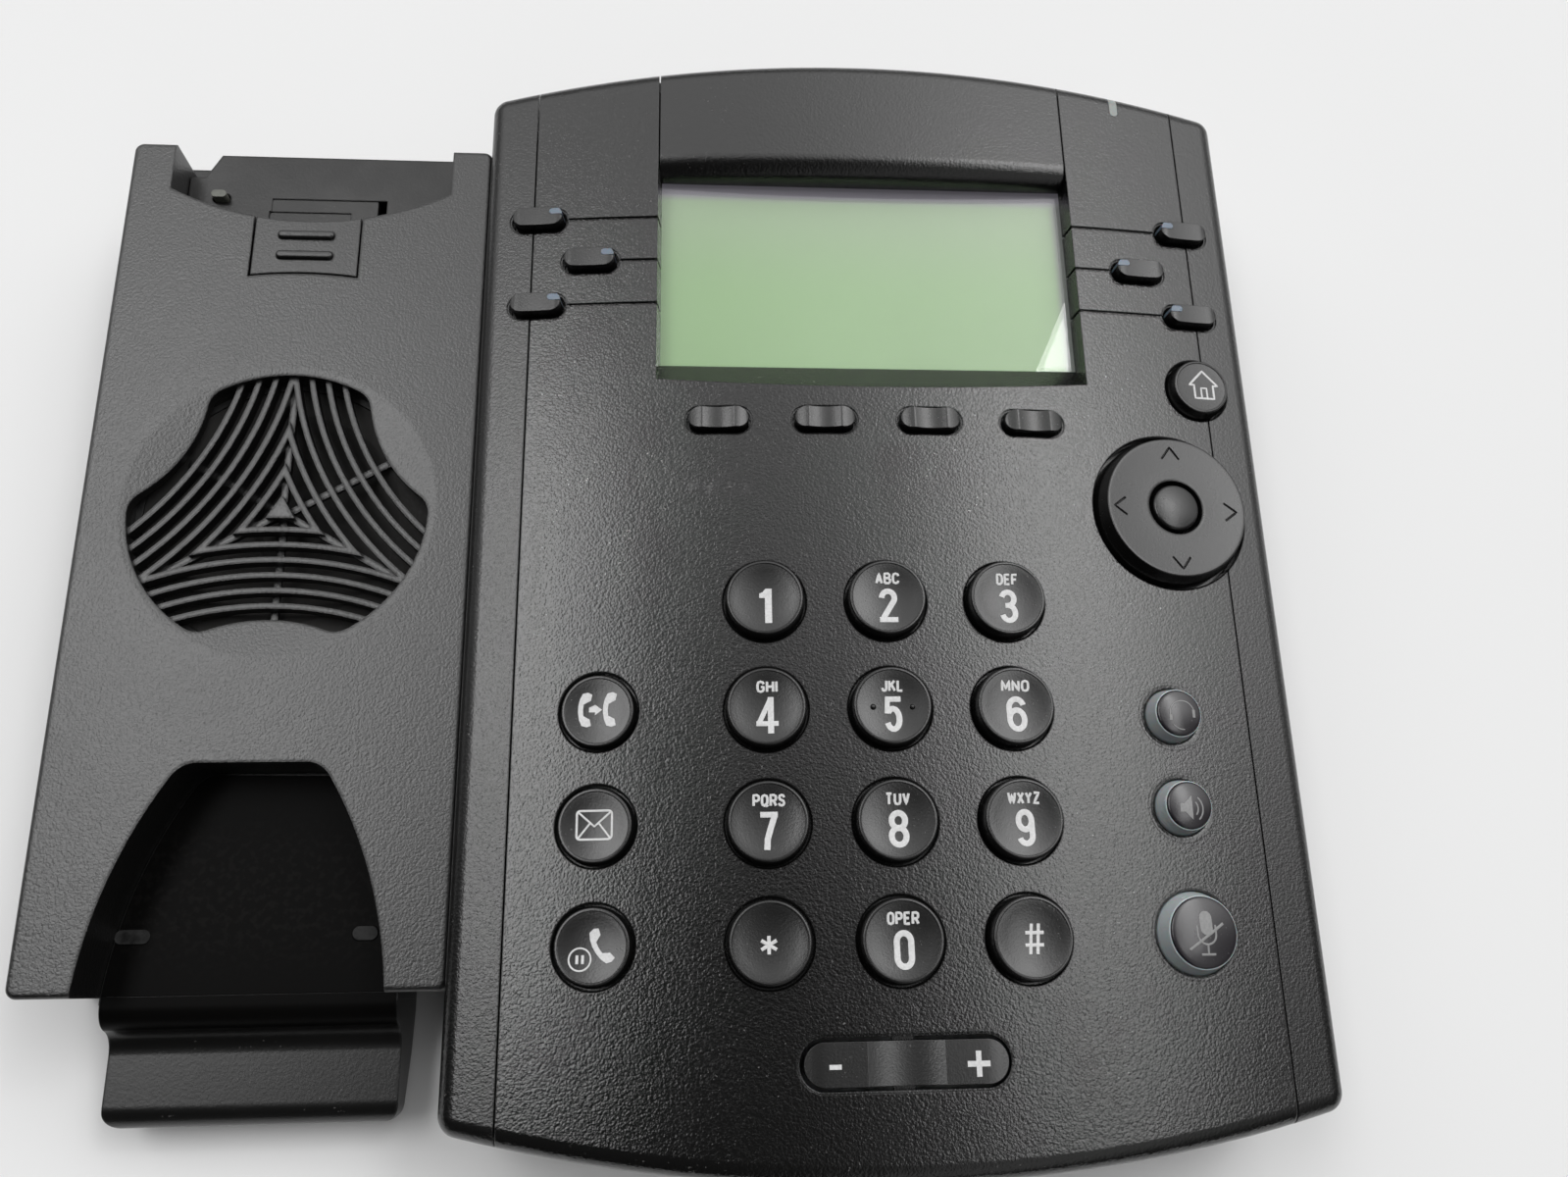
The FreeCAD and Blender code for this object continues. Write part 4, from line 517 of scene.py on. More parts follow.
CARRIED = (
    (case_black, "front_housing"), (trim_black, "left_trim right_trim"), (cover_black, "top_cover"),
    (cradle_black, "handset_cradle"), (tab_black, "handset_tab"), (rear_black, "rear_housing"),
    (bar_plastic, "message_lamp"), (frame_grey, "nav_pivot_plate nav_carrier lcd_frame"),
    (pale_nub, "hook_plunger"), (jack_black, "hook_switch network_jacks handset_jacks power_jack"),
    (board_green, "main_board"), (silicone, "key_mat"), (lcd_green, "lcd_panel"),
    (light_white, "lcd_backlight"), (foam, "speaker_gasket"), (basket_dark, "speaker_basket"),
    (paper, "speaker_cone"), (steel, "speaker_magnet housing_screws"), (zinc, "microphone"),
)
for finish, names in CARRIED:
    for name in names.split():
        for slot in nodes[name].material_slots:
            slot.material = finish


# Shaping helpers

def as_mesh(bm, name):
    mesh = bpy.data.meshes.new(name)
    bm.to_mesh(mesh)
    bm.free()
    return mesh


def drop(x):
    """How far the crowned face falls from its middle to x."""
    return CROWN - sqrt(CROWN * CROWN - x * x)


def seat(x, y):
    """The place on the crowned face at x, y from the dial's middle."""
    lean = Matrix.Rotation(asin(x / CROWN), 4, "Y")
    return METRES @ Matrix.Translation(DIAL + Vector((x, y, -drop(x)))) @ lean


def stem_foot(x):
    """How low a key's stem ends, measured from the face at x."""
    return STEM_END - (DIAL.z - drop(x))


def piece(name, bm, place, body, finishes, sharp=38.0):
    bm.transform(place)
    bm.normal_update()
    limit = radians(sharp)
    for face in bm.faces:
        face.smooth = True
    for edge in bm.edges:
        edge.smooth = len(edge.link_faces) == 2 and edge.calc_face_angle(0.0) < limit
    mesh = as_mesh(bm, name)
    for finish in finishes:
        mesh.materials.append(finish)
    made = new_object(name, mesh)
    even = made.modifiers.new("even_shading", "WEIGHTED_NORMAL")
    even.mode = "FACE_AREA"
    even.keep_sharp = True
    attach(made, body)
    return made


def everything(bm):
    return list(bm.verts) + list(bm.edges) + list(bm.faces)


def weld(bm):
    ops.remove_doubles(bm, verts=bm.verts, dist=1e-4)


def outward(bm):
    """The closed shape, with every face turned outward."""
    ops.recalc_face_normals(bm, faces=bm.faces)
    return bm


def flat(points):
    """One face through the points."""
    bm = bmesh.new()
    bm.faces.new([bm.verts.new(point) for point in points])
    return bm


def thicken(bm, way):
    """Draws a flat shape out along a way."""
    drawn_out = ops.extrude_face_region(bm, geom=list(bm.faces))["geom"]
    ends = [part for part in drawn_out if isinstance(part, bmesh.types.BMVert)]
    ops.translate(bm, vec=way, verts=ends)


def shift(x, y, z=0.0):
    return Matrix.Translation((x, y, z))


def add_box(bm, centre, size, turn=None):
    ops.create_cube(bm, size=1, matrix=Matrix.LocRotScale(centre, turn, size))


def turned(profile, steps=96):
    """A round piece from its half section: (radius, height) points."""
    bm = bmesh.new()
    line = [bm.verts.new((radius, 0, height)) for radius, height in profile]
    for pair in zip(line, line[1:]):
        bm.edges.new(pair)
    ops.spin(bm, geom=everything(bm), cent=(0, 0, 0), axis=(0, 0, 1), dvec=(0, 0, 0), angle=tau,
             steps=steps, use_merge=True, use_duplicate=False)
    weld(bm)
    return outward(bm)


def soften(bm, chosen, width, segments=3):
    edges = [edge for edge in bm.edges if chosen(edge)]
    ops.bevel(bm, geom=edges, offset=width, offset_type="OFFSET", segments=segments, profile=0.5,
              affect="EDGES", material=-1, clamp_overlap=True)


def on_ring(radius, height):
    """Chooses the edges of one circle of a turned piece."""
    def chosen(edge):
        return all(abs(hypot(v.co.x, v.co.y) - radius) < 0.01 and abs(v.co.z - height) < 0.01
                   for v in edge.verts)
    return chosen


def top_rim(bm, low):
    """Chooses the edges between a top and the upright walls around it."""
    bm.normal_update()

    def chosen(edge):
        if len(edge.link_faces) != 2 or min(v.co.z for v in edge.verts) < low:
            return False
        steep = sorted(face.normal.z for face in edge.link_faces)
        return steep[0] < 0.3 and steep[1] > 0.6
    return chosen


def bowl(radius, rim, depth, rings):
    """Points of a shallow dish, from just inside its rim to the middle."""
    return [(radius * k / rings, rim - depth * (1 - (k / rings) ** 2))
            for k in range(rings - 1, -1, -1)]


def pill(length, width, low, high, cuts=(), segments=36):
    """An upright bar with round ends, sliced across at the given places."""
    bm = bmesh.new()
    ops.create_circle(bm, cap_ends=True, radius=width / 2, segments=segments,
                      matrix=Matrix.Rotation(pi / segments, 4, "Z"))
    for vert in bm.verts:
        vert.co.x += copysign((length - width) / 2, vert.co.x)
        vert.co.z = low
    thicken(bm, (0, 0, high - low))
    for x in cuts:
        ops.bisect_plane(bm, geom=everything(bm), plane_co=(x, 0, 0), plane_no=(1, 0, 0))
    return outward(bm)


def rod(radius, low, high, x=0.0):
    bm = bmesh.new()
    ops.create_cone(bm, cap_ends=True, segments=32, radius1=radius, radius2=radius,
                    depth=high - low, matrix=shift(x, 0, (low + high) / 2))
    return bm


def join(bm, other, finish=0):
    """Adds another shape to bm, in one of its finishes."""
    for face in other.faces:
        face.material_index = finish
    mesh = as_mesh(other, "joined")
    bm.from_mesh(mesh)
    bpy.data.meshes.remove(mesh)
    return bm


def carve(bm, tool, action="DIFFERENCE"):
    """bm less the tool, or what both share."""
    objects = [new_object("carving", as_mesh(shape, "carving")) for shape in (bm, tool)]
    work = objects[0].modifiers.new("carve", "BOOLEAN")
    work.operation = action
    work.solver = "EXACT"
    work.object = objects[1]
    bpy.context.view_layer.update()
    result = bmesh.new()
    result.from_object(objects[0], bpy.context.evaluated_depsgraph_get())
    for thing in objects:
        mesh = thing.data
        bpy.data.objects.remove(thing)
        bpy.data.meshes.remove(mesh)
    weld(result)
    return result


# Print on the keys

def drawn(curve):
    """The solid form of a curve."""
    holder = new_object("drawing", curve)
    bpy.context.view_layer.update()
    mesh = bpy.data.meshes.new_from_object(holder)
    bm = bmesh.new()
    bm.from_mesh(mesh)
    bpy.data.meshes.remove(mesh)
    bpy.data.objects.remove(holder)
    return bm


def spans(bm):
    xs = [vert.co.x for vert in bm.verts]
    ys = [vert.co.y for vert in bm.verts]
    return min(xs), max(xs), min(ys), max(ys)


def raise_flat(bm):
    """Turns a flat figure into a thin closed plate fine enough to follow a curved top."""
    weld(bm)
    fine, thick = 0.7, 0.03
    left, right, low, high = spans(bm)
    for first, last, way in ((left, right, Vector((1, 0, 0))), (low, high, Vector((0, 1, 0)))):
        for k in range(1, ceil((last - first) / fine)):
            ops.bisect_plane(bm, geom=everything(bm), plane_co=way * (first + k * fine),
                             plane_no=way)
    thicken(bm, (0, 0, thick))
    return outward(bm)


def plate(corners, centre=(0.0, 0.0), turn=0.0):
    """A thin plate with the given outline."""
    bm = flat([(x, y, 0) for x, y in corners])
    ops.triangulate(bm, faces=bm.faces)
    bm.transform(shift(*centre, 0) @ Matrix.Rotation(radians(turn), 4, "Z"))
    return raise_flat(bm)


def dense(points, closed):
    """The same line with points close enough to follow a curved top."""
    step, made = 0.45, []
    ends = points[1:] + (points[:1] if closed else [])
    for (x0, y0), (x1, y1) in zip(points, ends):
        count = max(1, ceil(hypot(x1 - x0, y1 - y0) / step))
        made += [(x0 + (x1 - x0) * k / count, y0 + (y1 - y0) * k / count) for k in range(count)]
    return made if closed else made + points[-1:]


def stroke(points, width, closed=False, thick=0.035):
    """A rounded line of ink through the points."""
    points = dense(points, closed)
    curve = bpy.data.curves.new("stroke", "CURVE")
    curve.dimensions = "3D"
    curve.bevel_depth = width / 2
    curve.bevel_resolution = 2
    curve.use_fill_caps = True
    line = curve.splines.new("POLY")
    line.points.add(len(points) - 1)
    for point, (x, y) in zip(line.points, points):
        point.co = (x, y, 0, 1)
    line.use_cyclic_u = closed
    bm = drawn(curve)
    bpy.data.curves.remove(curve)
    weld(bm)
    ops.scale(bm, vec=(1, 1, thick / width * 2), verts=bm.verts)
    return outward(bm)


def arc(x, y, radius, start, end, steps=16, tall=1.0):
    """Points along part of a circle or of a taller oval, angles in degrees."""
    turns = [radians(start + (end - start) * k / steps) for k in range(steps + 1)]
    return [(x + radius * cos(turn), y + radius * tall * sin(turn)) for turn in turns]


def digit_lines(digit, width):
    """Bold condensed digit 5.5 high about the origin, as lines of ink."""
    bold = 0.93
    b = (width * 0.96 - bold) / 2
    a = (5.5 - bold) / 2
    if digit == "1":
        return [plate(((-0.95, 1.3), (-0.95, 2.0), (-0.45, 2.2), (0.0, 2.75), (0.95, 2.75),
                       (0.95, -2.75), (-0.1, -2.75), (-0.1, 1.3)))]
    if digit == "2":
        bend = arc(0, a - b * 1.1, b, 180, -25, 14, 1.1)
        return [stroke(bend + [(-b + 0.15, -a + 0.3)], bold),
                stroke([(-b - 0.43, -a), (b + 0.43, -a)], bold * 0.95)]
    if digit == "3":
        upper = arc(-0.05, (a + 0.15) / 2, b * 0.94, 165, -90, 14, (a - 0.15) / 1.88 / b)
        lower = arc(-0.05, (0.15 - a) / 2, b, 90, -165, 14, (a + 0.15) / 2 / b)
        return [stroke(upper, bold), stroke(lower, bold),
                stroke([(-0.5, 0.15), (0.1, 0.15)], bold * 0.9)]
    if digit == "4":
        post = b * 0.42
        return [stroke([(post, 2.75), (post, -2.75)], bold),
                stroke([(post - 0.1, 2.35), (-b - 0.02, -1.15)], bold * 0.82),
                stroke([(-b - 0.43, -1.25), (b + 0.43, -1.25)], bold * 0.86)]
    if digit == "5":
        bowl_line = arc(-0.05, -0.72, b, 140, -158, 16, (a - 0.72) / b)
        return [stroke([(-b - 0.2, a), (b + 0.25, a)], bold * 0.92),
                stroke([(-b + 0.12, a + 0.3), (-b, 0.1)], bold * 0.85), stroke(bowl_line, bold)]
    if digit in "69":
        turn = 1 if digit == "6" else -1
        back = arc(0, a - b * 1.15, b, 18, 180, 12, 1.15) + [(-b, -a + b * 1.3)]
        loop = arc(0, -a + b * 1.3, b, 0, 345, 23, 1.3)
        return [stroke([(x * turn, y * turn) for x, y in back], bold),
                stroke([(x * turn, y * turn) for x, y in loop], bold, closed=True)]
    if digit == "7":
        return [stroke([(-b - 0.43, a), (b + 0.43, a)], bold * 0.92),
                stroke([(b, a - 0.1), (b * 0.25, 0.3), (-b * 0.28, -1.2), (-b * 0.4, -2.75)], bold)]
    if digit == "8":
        upper = arc(0, a - 1.1, b * 0.92, 0, 345, 23, 1.1 / b / 0.92)
        lower = arc(0, -a + 1.22, b, 0, 345, 23, 1.22 / b)
        return [stroke(upper, bold, closed=True), stroke(lower, bold, closed=True)]
    ends = arc(0, a - b * 1.15, b, 0, 180, 12, 1.15)
    ends += arc(0, -a + b * 1.15, b, 180, 360, 12, 1.15)
    return [stroke(ends, bold, closed=True)]


def letter_lines(letter):
    """A capital on a grid 4 wide and 6 high, as lists of points."""
    oval = [(0, 4.2), (0.5, 5.5), (2, 6), (3.5, 5.5), (4, 4.2), (4, 1.8), (3.5, 0.5), (2, 0),
            (0.5, 0.5), (0, 1.8), (0, 4.2)]
    open_side = [(4, 4.5)] + oval[3::-1] + oval[-2:-6:-1] + [(3.5, 0.5)]
    post = [(0, 0), (0, 6)]
    head = post + [(2.6, 6), (3.8, 5.4), (4, 4.4), (3.8, 3.4), (2.6, 2.8), (0, 2.8)]
    return {
        "A": [[(0, 0), (2, 6), (4, 0)], [(0.8, 1.9), (3.2, 1.9)]],
        "B": [post + [(2.7, 6), (3.7, 5.2), (3.7, 4.1), (2.7, 3.2), (0, 3.2)],
              [(2.7, 3.2), (4, 2.3), (4, 0.9), (2.9, 0), (0, 0)]],
        "C": [open_side + [(4, 1.5)]],
        "D": [post + [(2.3, 6), (3.6, 5.2), (4, 3.8), (4, 2.2), (3.6, 0.8), (2.3, 0), (0, 0)]],
        "E": [[(3.7, 6), (0, 6), (0, 0), (3.7, 0)], [(0, 3.1), (3.1, 3.1)]],
        "F": [[(3.7, 6), (0, 6), (0, 0)], [(0, 3.0), (3.1, 3.0)]],
        "G": [open_side + [(4, 1.3), (4, 2.8), (2.3, 2.8)]],
        "H": [post, [(4, 0), (4, 6)], [(0, 3), (4, 3)]],
        "I": [post],
        "J": [[(3, 6), (3, 1.4), (2.4, 0.2), (1.1, 0), (0.2, 0.5), (0, 1.7)]],
        "K": [post, [(3.8, 6), (0.2, 2.4)], [(1.5, 3.8), (4, 0)]],
        "L": [[(0, 6), (0, 0), (3.4, 0)]],
        "M": [[(0, 0), (0, 6), (2.4, 1.2), (4.8, 6), (4.8, 0)]],
        "N": [[(0, 0), (0, 6), (4, 0), (4, 6)]],
        "O": [oval],
        "P": [head],
        "Q": [oval, [(2.4, 1.5), (4.2, -0.5)]],
        "R": [head, [(2.2, 2.8), (4, 0)]],
        "S": [[(3.8, 4.6), (3.3, 5.6), (2, 6), (0.6, 5.6), (0.2, 4.5), (0.8, 3.5), (3.2, 2.6),
               (3.8, 1.5), (3.4, 0.4), (2, 0), (0.5, 0.4), (0, 1.4)]],
        "T": [[(0, 6), (4, 6)], [(2, 6), (2, 0)]],
        "U": [[(0, 6), (0, 1.6), (0.6, 0.3), (2, 0), (3.4, 0.3), (4, 1.6), (4, 6)]],
        "V": [[(0, 6), (2, 0), (4, 6)]],
        "W": [[(0, 6), (1.4, 0), (2.8, 5), (4.2, 0), (5.6, 6)]],
        "X": [[(0, 6), (4, 0)], [(0, 0), (4, 6)]],
        "Y": [[(0, 6), (2, 2.8), (4, 6)], [(2, 2.8), (2, 0)]],
        "Z": [[(0, 6), (4, 6), (0, 0), (4, 0)]],
    }[letter]


def lettering(words, centre, width, height):
    """Capitals drawn in lines of ink that fill a width and a height about their centre."""
    gap, capital, bold = 2.3, 6, 0.4
    lines, start = [], 0.0
    for letter in words:
        figure = letter_lines(letter)
        lines += [[(start + x, y) for x, y in line] for line in figure]
        start += max(x for line in figure for x, y in line) + gap
    wide = (width - bold) / (start - gap)
    tall = (height - bold) / capital
    left = centre[0] - (width - bold) / 2
    low = centre[1] - (height - bold) / 2
    return [stroke([(left + x * wide, low + y * tall) for x, y in line], bold) for line in lines]


def lay_on(bm, marks):
    """Drops the marks onto bm's top and joins them to it as print, its second finish."""
    sunk = 0.006
    surface = BVHTree.FromBMesh(bm)
    for mark in marks:
        for vert in mark.verts:
            hit = surface.ray_cast(Vector((vert.co.x, vert.co.y, 30)), Vector((0, 0, -1)))[0]
            vert.co.z += (hit.z if hit else 0) - sunk
    for mark in marks:
        join(bm, mark, 1)
    return bm


HANDSET = ((1.05, 2.3), (0.45, 2.62), (-0.35, 2.45), (-0.78, 1.6), (-1.00, 0.6), (-1.02, -0.4),
           (-0.85, -1.5), (-0.45, -2.4), (0.3, -2.62), (0.95, -2.4), (0.72, -1.42), (0.42, -1.28),
           (0.02, -1.52), (-0.22, -0.9), (-0.3, 0.0), (-0.2, 0.85), (0.06, 1.45), (0.48, 1.2),
           (0.85, 1.4))


def handset(centre, turn=0.0):
    return plate(HANDSET, centre, turn)


def ring(x, y, radius, width):
    return stroke(arc(x, y, radius, 0, 345, 23), width, closed=True)


def box_line(left, right, low, high, corner, width):
    points = []
    for x, y, start in ((right, high, 0), (left, high, 90), (left, low, 180), (right, low, 270)):
        side_x = -corner if x == right else corner
        side_y = -corner if y == high else corner
        points += arc(x + side_x, y + side_y, corner, start, start + 90, 4)
    return stroke(points, width, closed=True)


# Keys

def stem_and_flange(x, reach):
    """The half section of a key's stem and of the flange at its top."""
    foot = stem_foot(x)
    return [(0, foot), (STEM, foot), (STEM, FLANGE[0]), (reach, FLANGE[0]), (reach, FLANGE[1])]


def round_key(name, x, y, marks, hole, cap, proud, dish, extra=None):
    """A dial or side key: a flange under the face, a straight wall and a dished top."""
    lip = min(0.34, proud * 0.25)
    profile = stem_and_flange(x, hole + FLANGE_LAP)
    profile += [(hole - 0.28, FLANGE[1]), (hole - 0.28, -0.4), (cap + 0.16, 0.1),
                (cap, proud - lip), (cap, proud), (cap - 0.42, proud), (cap - 0.52, proud - 0.1),
                (cap - 0.64, proud - 0.11)]
    profile += bowl(cap - 0.64, proud - 0.11, dish, 6)
    bm = turned(profile)
    soften(bm, on_ring(cap, proud), lip * 0.8, 4)
    soften(bm, on_ring(cap + 0.16, 0.1), 0.15, 2)
    if extra:
        extra(bm)
    lay_on(bm, marks)
    made = piece(name + "_cap", bm, seat(x, y), name, [key_black, ink], 30)
    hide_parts(name)


# Name, digit, its width, letters and their width, row by row.
DIAL_KEYS = (
    ("one", "1", 1.9, "", 0), ("two", "2", 3.0, "ABC", 3.8), ("three", "3", 3.1, "DEF", 3.5),
    ("four", "4", 3.5, "GHI", 3.2), ("five", "5", 2.9, "JKL", 3.4), ("six", "6", 3.3, "MNO", 4.4),
    ("seven", "7", 2.7, "PQRS", 4.8), ("eight", "8", 3.2, "TUV", 3.7),
    ("nine", "9", 3.0, "WXYZ", 5.0), ("star", "*", 0, "", 0), ("zero", "0", 3.1, "OPER", 4.7),
    ("pound", "#", 0, "", 0),
)


def locating_beads(bm):
    """The two small beads that find the middle key by touch."""
    for x in (-2.9, 3.0):
        bead = bmesh.new()
        ops.create_uvsphere(bead, u_segments=20, v_segments=12, radius=0.42,
                            matrix=shift(x, -0.2, 1.93))
        join(bm, bead)


def dial_marks(sign, width, letters, letters_width):
    if sign == "*":
        arms = [arc(-0.2, -0.3, 1.25, angle + 180, angle, 1) for angle in (90, 30, 150)]
        return [stroke(arm, 0.52) for arm in arms]
    if sign == "#":
        lines = ([(-0.52, -2.2), (-0.12, 2.0)], [(0.52, -2.2), (0.92, 2.0)],
                 [(-1.2, -0.95), (1.5, -0.95)], [(-1.1, 0.75), (1.6, 0.75)])
        return [stroke(line, 0.5) for line in lines]
    marks = digit_lines(sign, width)
    for mark in marks:
        ops.translate(mark, vec=(0.1, -1.3, 0), verts=mark.verts)
    if letters:
        marks += lettering(letters, (0.1, 3.0), letters_width, 1.9)
    return marks


def make_dial():
    pitch_x, pitch_y = 18.67, 16.86
    for place, (word, *printed) in enumerate(DIAL_KEYS):
        row, column = divmod(place, 3)
        extra = locating_beads if word == "five" else None
        round_key("dial_key_" + word, (column - 1) * pitch_x, (1.5 - row) * pitch_y,
                  dial_marks(*printed), hole=6.33, cap=5.86, proud=2.35, dish=0.45, extra=extra)


def make_side_keys():
    transfer = [handset((-1.9, 0.2)), handset((1.8, 0.2)),
                plate(((-1.3, -0.15), (-0.4, -0.15), (-0.4, -0.6), (0.65, 0.2), (-0.4, 1.0),
                       (-0.4, 0.55), (-1.3, 0.55)))]
    envelope = [box_line(-2.65, 2.45, -1.95, 2.15, 0.5, 0.34),
                stroke([(-2.45, 1.95), (-0.1, -0.1), (2.25, 1.95)], 0.3),
                stroke([(-2.4, -1.75), (-0.75, 0.35)], 0.3),
                stroke([(2.2, -1.75), (0.55, 0.35)], 0.3)]
    hold = [handset((1.2, 0.0), 32), ring(-1.7, -1.7, 1.55, 0.26),
            stroke([(-2.1, -2.3), (-2.1, -1.1)], 0.42), stroke([(-1.3, -2.3), (-1.3, -1.1)], 0.42)]
    for name, y, marks in (("transfer_key", 8.5, transfer), ("messages_key", -8.4, envelope),
                           ("hold_key", -25.3, hold)):
        round_key(name, -43.7, y, marks, hole=5.93, cap=5.38, proud=1.0, dish=0.35)
    house = [(-2.05, 0.3), (0.5, 2.9), (3.05, 0.3), (2.2, 0.3), (2.2, -2.1), (-1.2, -2.1),
             (-1.2, 0.3)]
    home = [stroke(house, 0.4, closed=True),
            stroke([(0.0, -2.1), (0.0, -0.2), (1.0, -0.2), (1.0, -2.1)], 0.34)]
    round_key("home_key", 55.1, 63.4, home, hole=5.45, cap=4.8, proud=1.7, dish=0.08)


def lamp_key(name, y, marks, hole, throat, cap):
    """A smoked domed cap in a milky skirt that lights up, in a black collar."""
    dome = 0.42
    rim = 3.0 - dome
    step = cap + 0.13
    place = seat(LAMP_KEYS_X, y)
    profile = stem_and_flange(LAMP_KEYS_X, hole + FLANGE_LAP)
    profile += [(throat - 0.15, FLANGE[1]), (throat - 0.15, -0.1), (step, rim - 0.28),
                (cap - 0.1, rim - 0.28), (cap - 0.1, 0), (0, 0)]
    skirt = turned(profile)
    soften(skirt, on_ring(throat - 0.15, -0.1), 0.3, 4)
    soften(skirt, on_ring(step, rim - 0.28), 0.1, 3)
    crown = [(0, 0.05), (cap - 0.12, 0.05), (cap, rim - 0.32), (cap, rim)]
    crown += [(cap * k / 7, rim + dome * (1 - (k / 7) ** 2)) for k in range(6, -1, -1)]
    top = turned(crown)
    soften(top, on_ring(cap, rim), 0.3, 4)
    lay_on(top, marks)
    skirt_piece = piece(name + "_skirt", skirt, place, name, [lamp_plastic])
    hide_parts(name)
    piece(name + "_cap", top, place, name, [lamp_cap_black, faint_ink], 30)
    collar = turned([(throat, -1.9), (hole - 0.1, -1.9), (hole - 0.1, -0.04), (hole + 0.5, -0.04),
                     (hole + 0.5, 0.02), (hole + 0.1, 0.02), (throat + 0.25, 0.02),
                     (throat + 0.08, -0.02), (throat, -0.12), (throat, -1.9)])
    for vert in collar.verts:
        vert.co.z -= vert.co.x ** 2 / (2 * CROWN)
    piece(name + "_collar", collar, place, "housing", [case_black])


def make_lamp_keys():
    headset = [stroke(arc(0.35, -0.15, 2.0, 15, 195), 0.2),
               stroke([(2.25, 0.45), (2.25, -0.75)], 0.5),
               stroke([(-1.55, -0.3), (-1.55, -1.2)], 0.5),
               stroke(arc(0.35, -0.6, 2.0, 215, 275, 8), 0.2)]
    cone = [plate(((-1.7, -1.0), (-1.0, -1.0), (0.2, -2.2), (0.2, 1.4), (-1.0, 0.3), (-1.7, 0.3))),
            stroke(arc(-0.3, -0.5, 1.4, -42, 42, 8), 0.26),
            stroke(arc(-0.3, -0.5, 2.2, -48, 48, 10), 0.26)]
    lamp_key("headset_key", 7.4, headset, hole=4.9, throat=4.3, cap=3.55)
    lamp_key("speaker_key", -6.6, cone, hole=4.9, throat=4.3, cap=3.55)
    body = plate(arc(0, 0.75, 0.95, 0, 180, 12) + arc(0, -0.75, 0.95, 180, 360, 12), (0.2, 1.3))
    stand = [(-1.2, 1.0), (-1.2, -0.3)] + arc(0.2, -0.3, 1.4, 180, 360) + [(1.6, 1.0)]
    mute = [body, stroke(stand, 0.3), stroke([(0.2, -1.7), (0.2, -3.0)], 0.34),
            stroke([(-0.9, -3.1), (1.3, -3.1)], 0.34), stroke([(-2.6, -2.4), (2.9, 1.2)], 0.42)]
    lamp_key("mute_key", -24.9, mute, hole=6.35, throat=6.1, cap=5.1)


def make_navigation():
    """The tilting ring with four engraved chevrons, and the domed key inside it."""
    profile = [(4.48, -2.5), (11.3, -2.5), (11.3, -4.4), (14.0, -4.4), (14.0, -3.4), (12.5, -3.4),
               (12.5, -0.2), (12.35, 0.4), (11.8, 2.1), (11.8, 2.5)]
    rings, inner, outer = 22, 4.75, 11.4
    for k in range(rings + 1):
        radius = outer - (outer - inner) * k / rings
        share = (radius - inner) / (outer - inner)
        profile.append((radius, 2.2 + 0.3 * share ** 1.6))
    profile += [(4.56, 2.12), (4.48, 1.95), (4.48, -2.5)]
    bm = turned(profile, 160)
    soften(bm, on_ring(11.8, 2.5), 0.24, 4)
    for x, y, turn in ((-0.1, 9.3, 0), (-9.6, -0.2, 90), (-0.1, -9.5, 180), (9.3, -0.5, 270)):
        cutter = stroke([(-1.5, -1.0), (0, 1.0), (1.5, -1.0)], 0.36, thick=0.34)
        cutter.transform(shift(x, y, 2.38) @ Matrix.Rotation(radians(turn), 4, "Z"))
        bm = carve(bm, cutter)
    ribs = bmesh.new()
    for side in (-7.45, 7.45):
        add_box(ribs, (0, side, -2.9), (1.6, 4.1, 1.0))
    join(bm, ribs)
    made = piece("nav_ring_top", bm, seat(*NAVIGATION), "nav_ring", [key_black], 32)
    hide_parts("nav_ring")
    foot = stem_foot(NAVIGATION[0])
    profile = [(0, foot), (STEM, foot), (STEM, -3.4), (4.7, -3.4), (4.7, -2.95), (3.95, -2.95),
               (3.95, -1.0), (3.9, 2.25)]
    profile += [(3.9 * k / 8, 2.25 + 0.5 * (1 - (k / 8) ** 2)) for k in range(7, -1, -1)]
    bm = turned(profile)
    soften(bm, on_ring(3.9, 2.25), 0.4, 4)
    made = piece("select_key_cap", bm, seat(*NAVIGATION), "select_key", [key_black])
    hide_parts("select_key")


def shape_top(bm, high, rise):
    """Moves the points of the top up or down by their place along the key."""
    for vert in bm.verts:
        if vert.co.z > high - 0.01:
            vert.co.z = high + rise(vert.co.x)


def pill_key(name, x, y, rise, cuts, length, width, high):
    """A long key on its flange and stem, its top shaped along its length."""
    bm = pill(length, width, FLANGE[1], high, cuts)
    shape_top(bm, high, rise)
    soften(bm, top_rim(bm, high - 0.9), 0.28, 3)
    join(bm, pill(length + 1.6, width + 1.6, FLANGE[0], FLANGE[1]))
    join(bm, rod(STEM, stem_foot(x), FLANGE[0]))
    made = piece(name + "_cap", bm, seat(x, y), name, [key_black], 34)
    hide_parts(name)


# How far from its middle a soft key and the rocker have their ridges.
SOFT_RIDGE = 2.6
ROCKER_RIDGE = 5.46


def soft_top(x):
    """Hollow in the middle, a ridge each side, then rolled down to the end."""
    reach = abs(x)
    if reach < SOFT_RIDGE:
        return -0.38 + 0.38 * (reach / SOFT_RIDGE) ** 2
    return -0.5 * ((reach - SOFT_RIDGE) / 2.2) ** 1.5


def line_top(x):
    ridge, reach = 3.0, abs(x)
    if reach < ridge:
        return -0.12 + 0.12 * (reach / ridge) ** 2
    return -0.14 * ((reach - ridge) / 1.35) ** 2


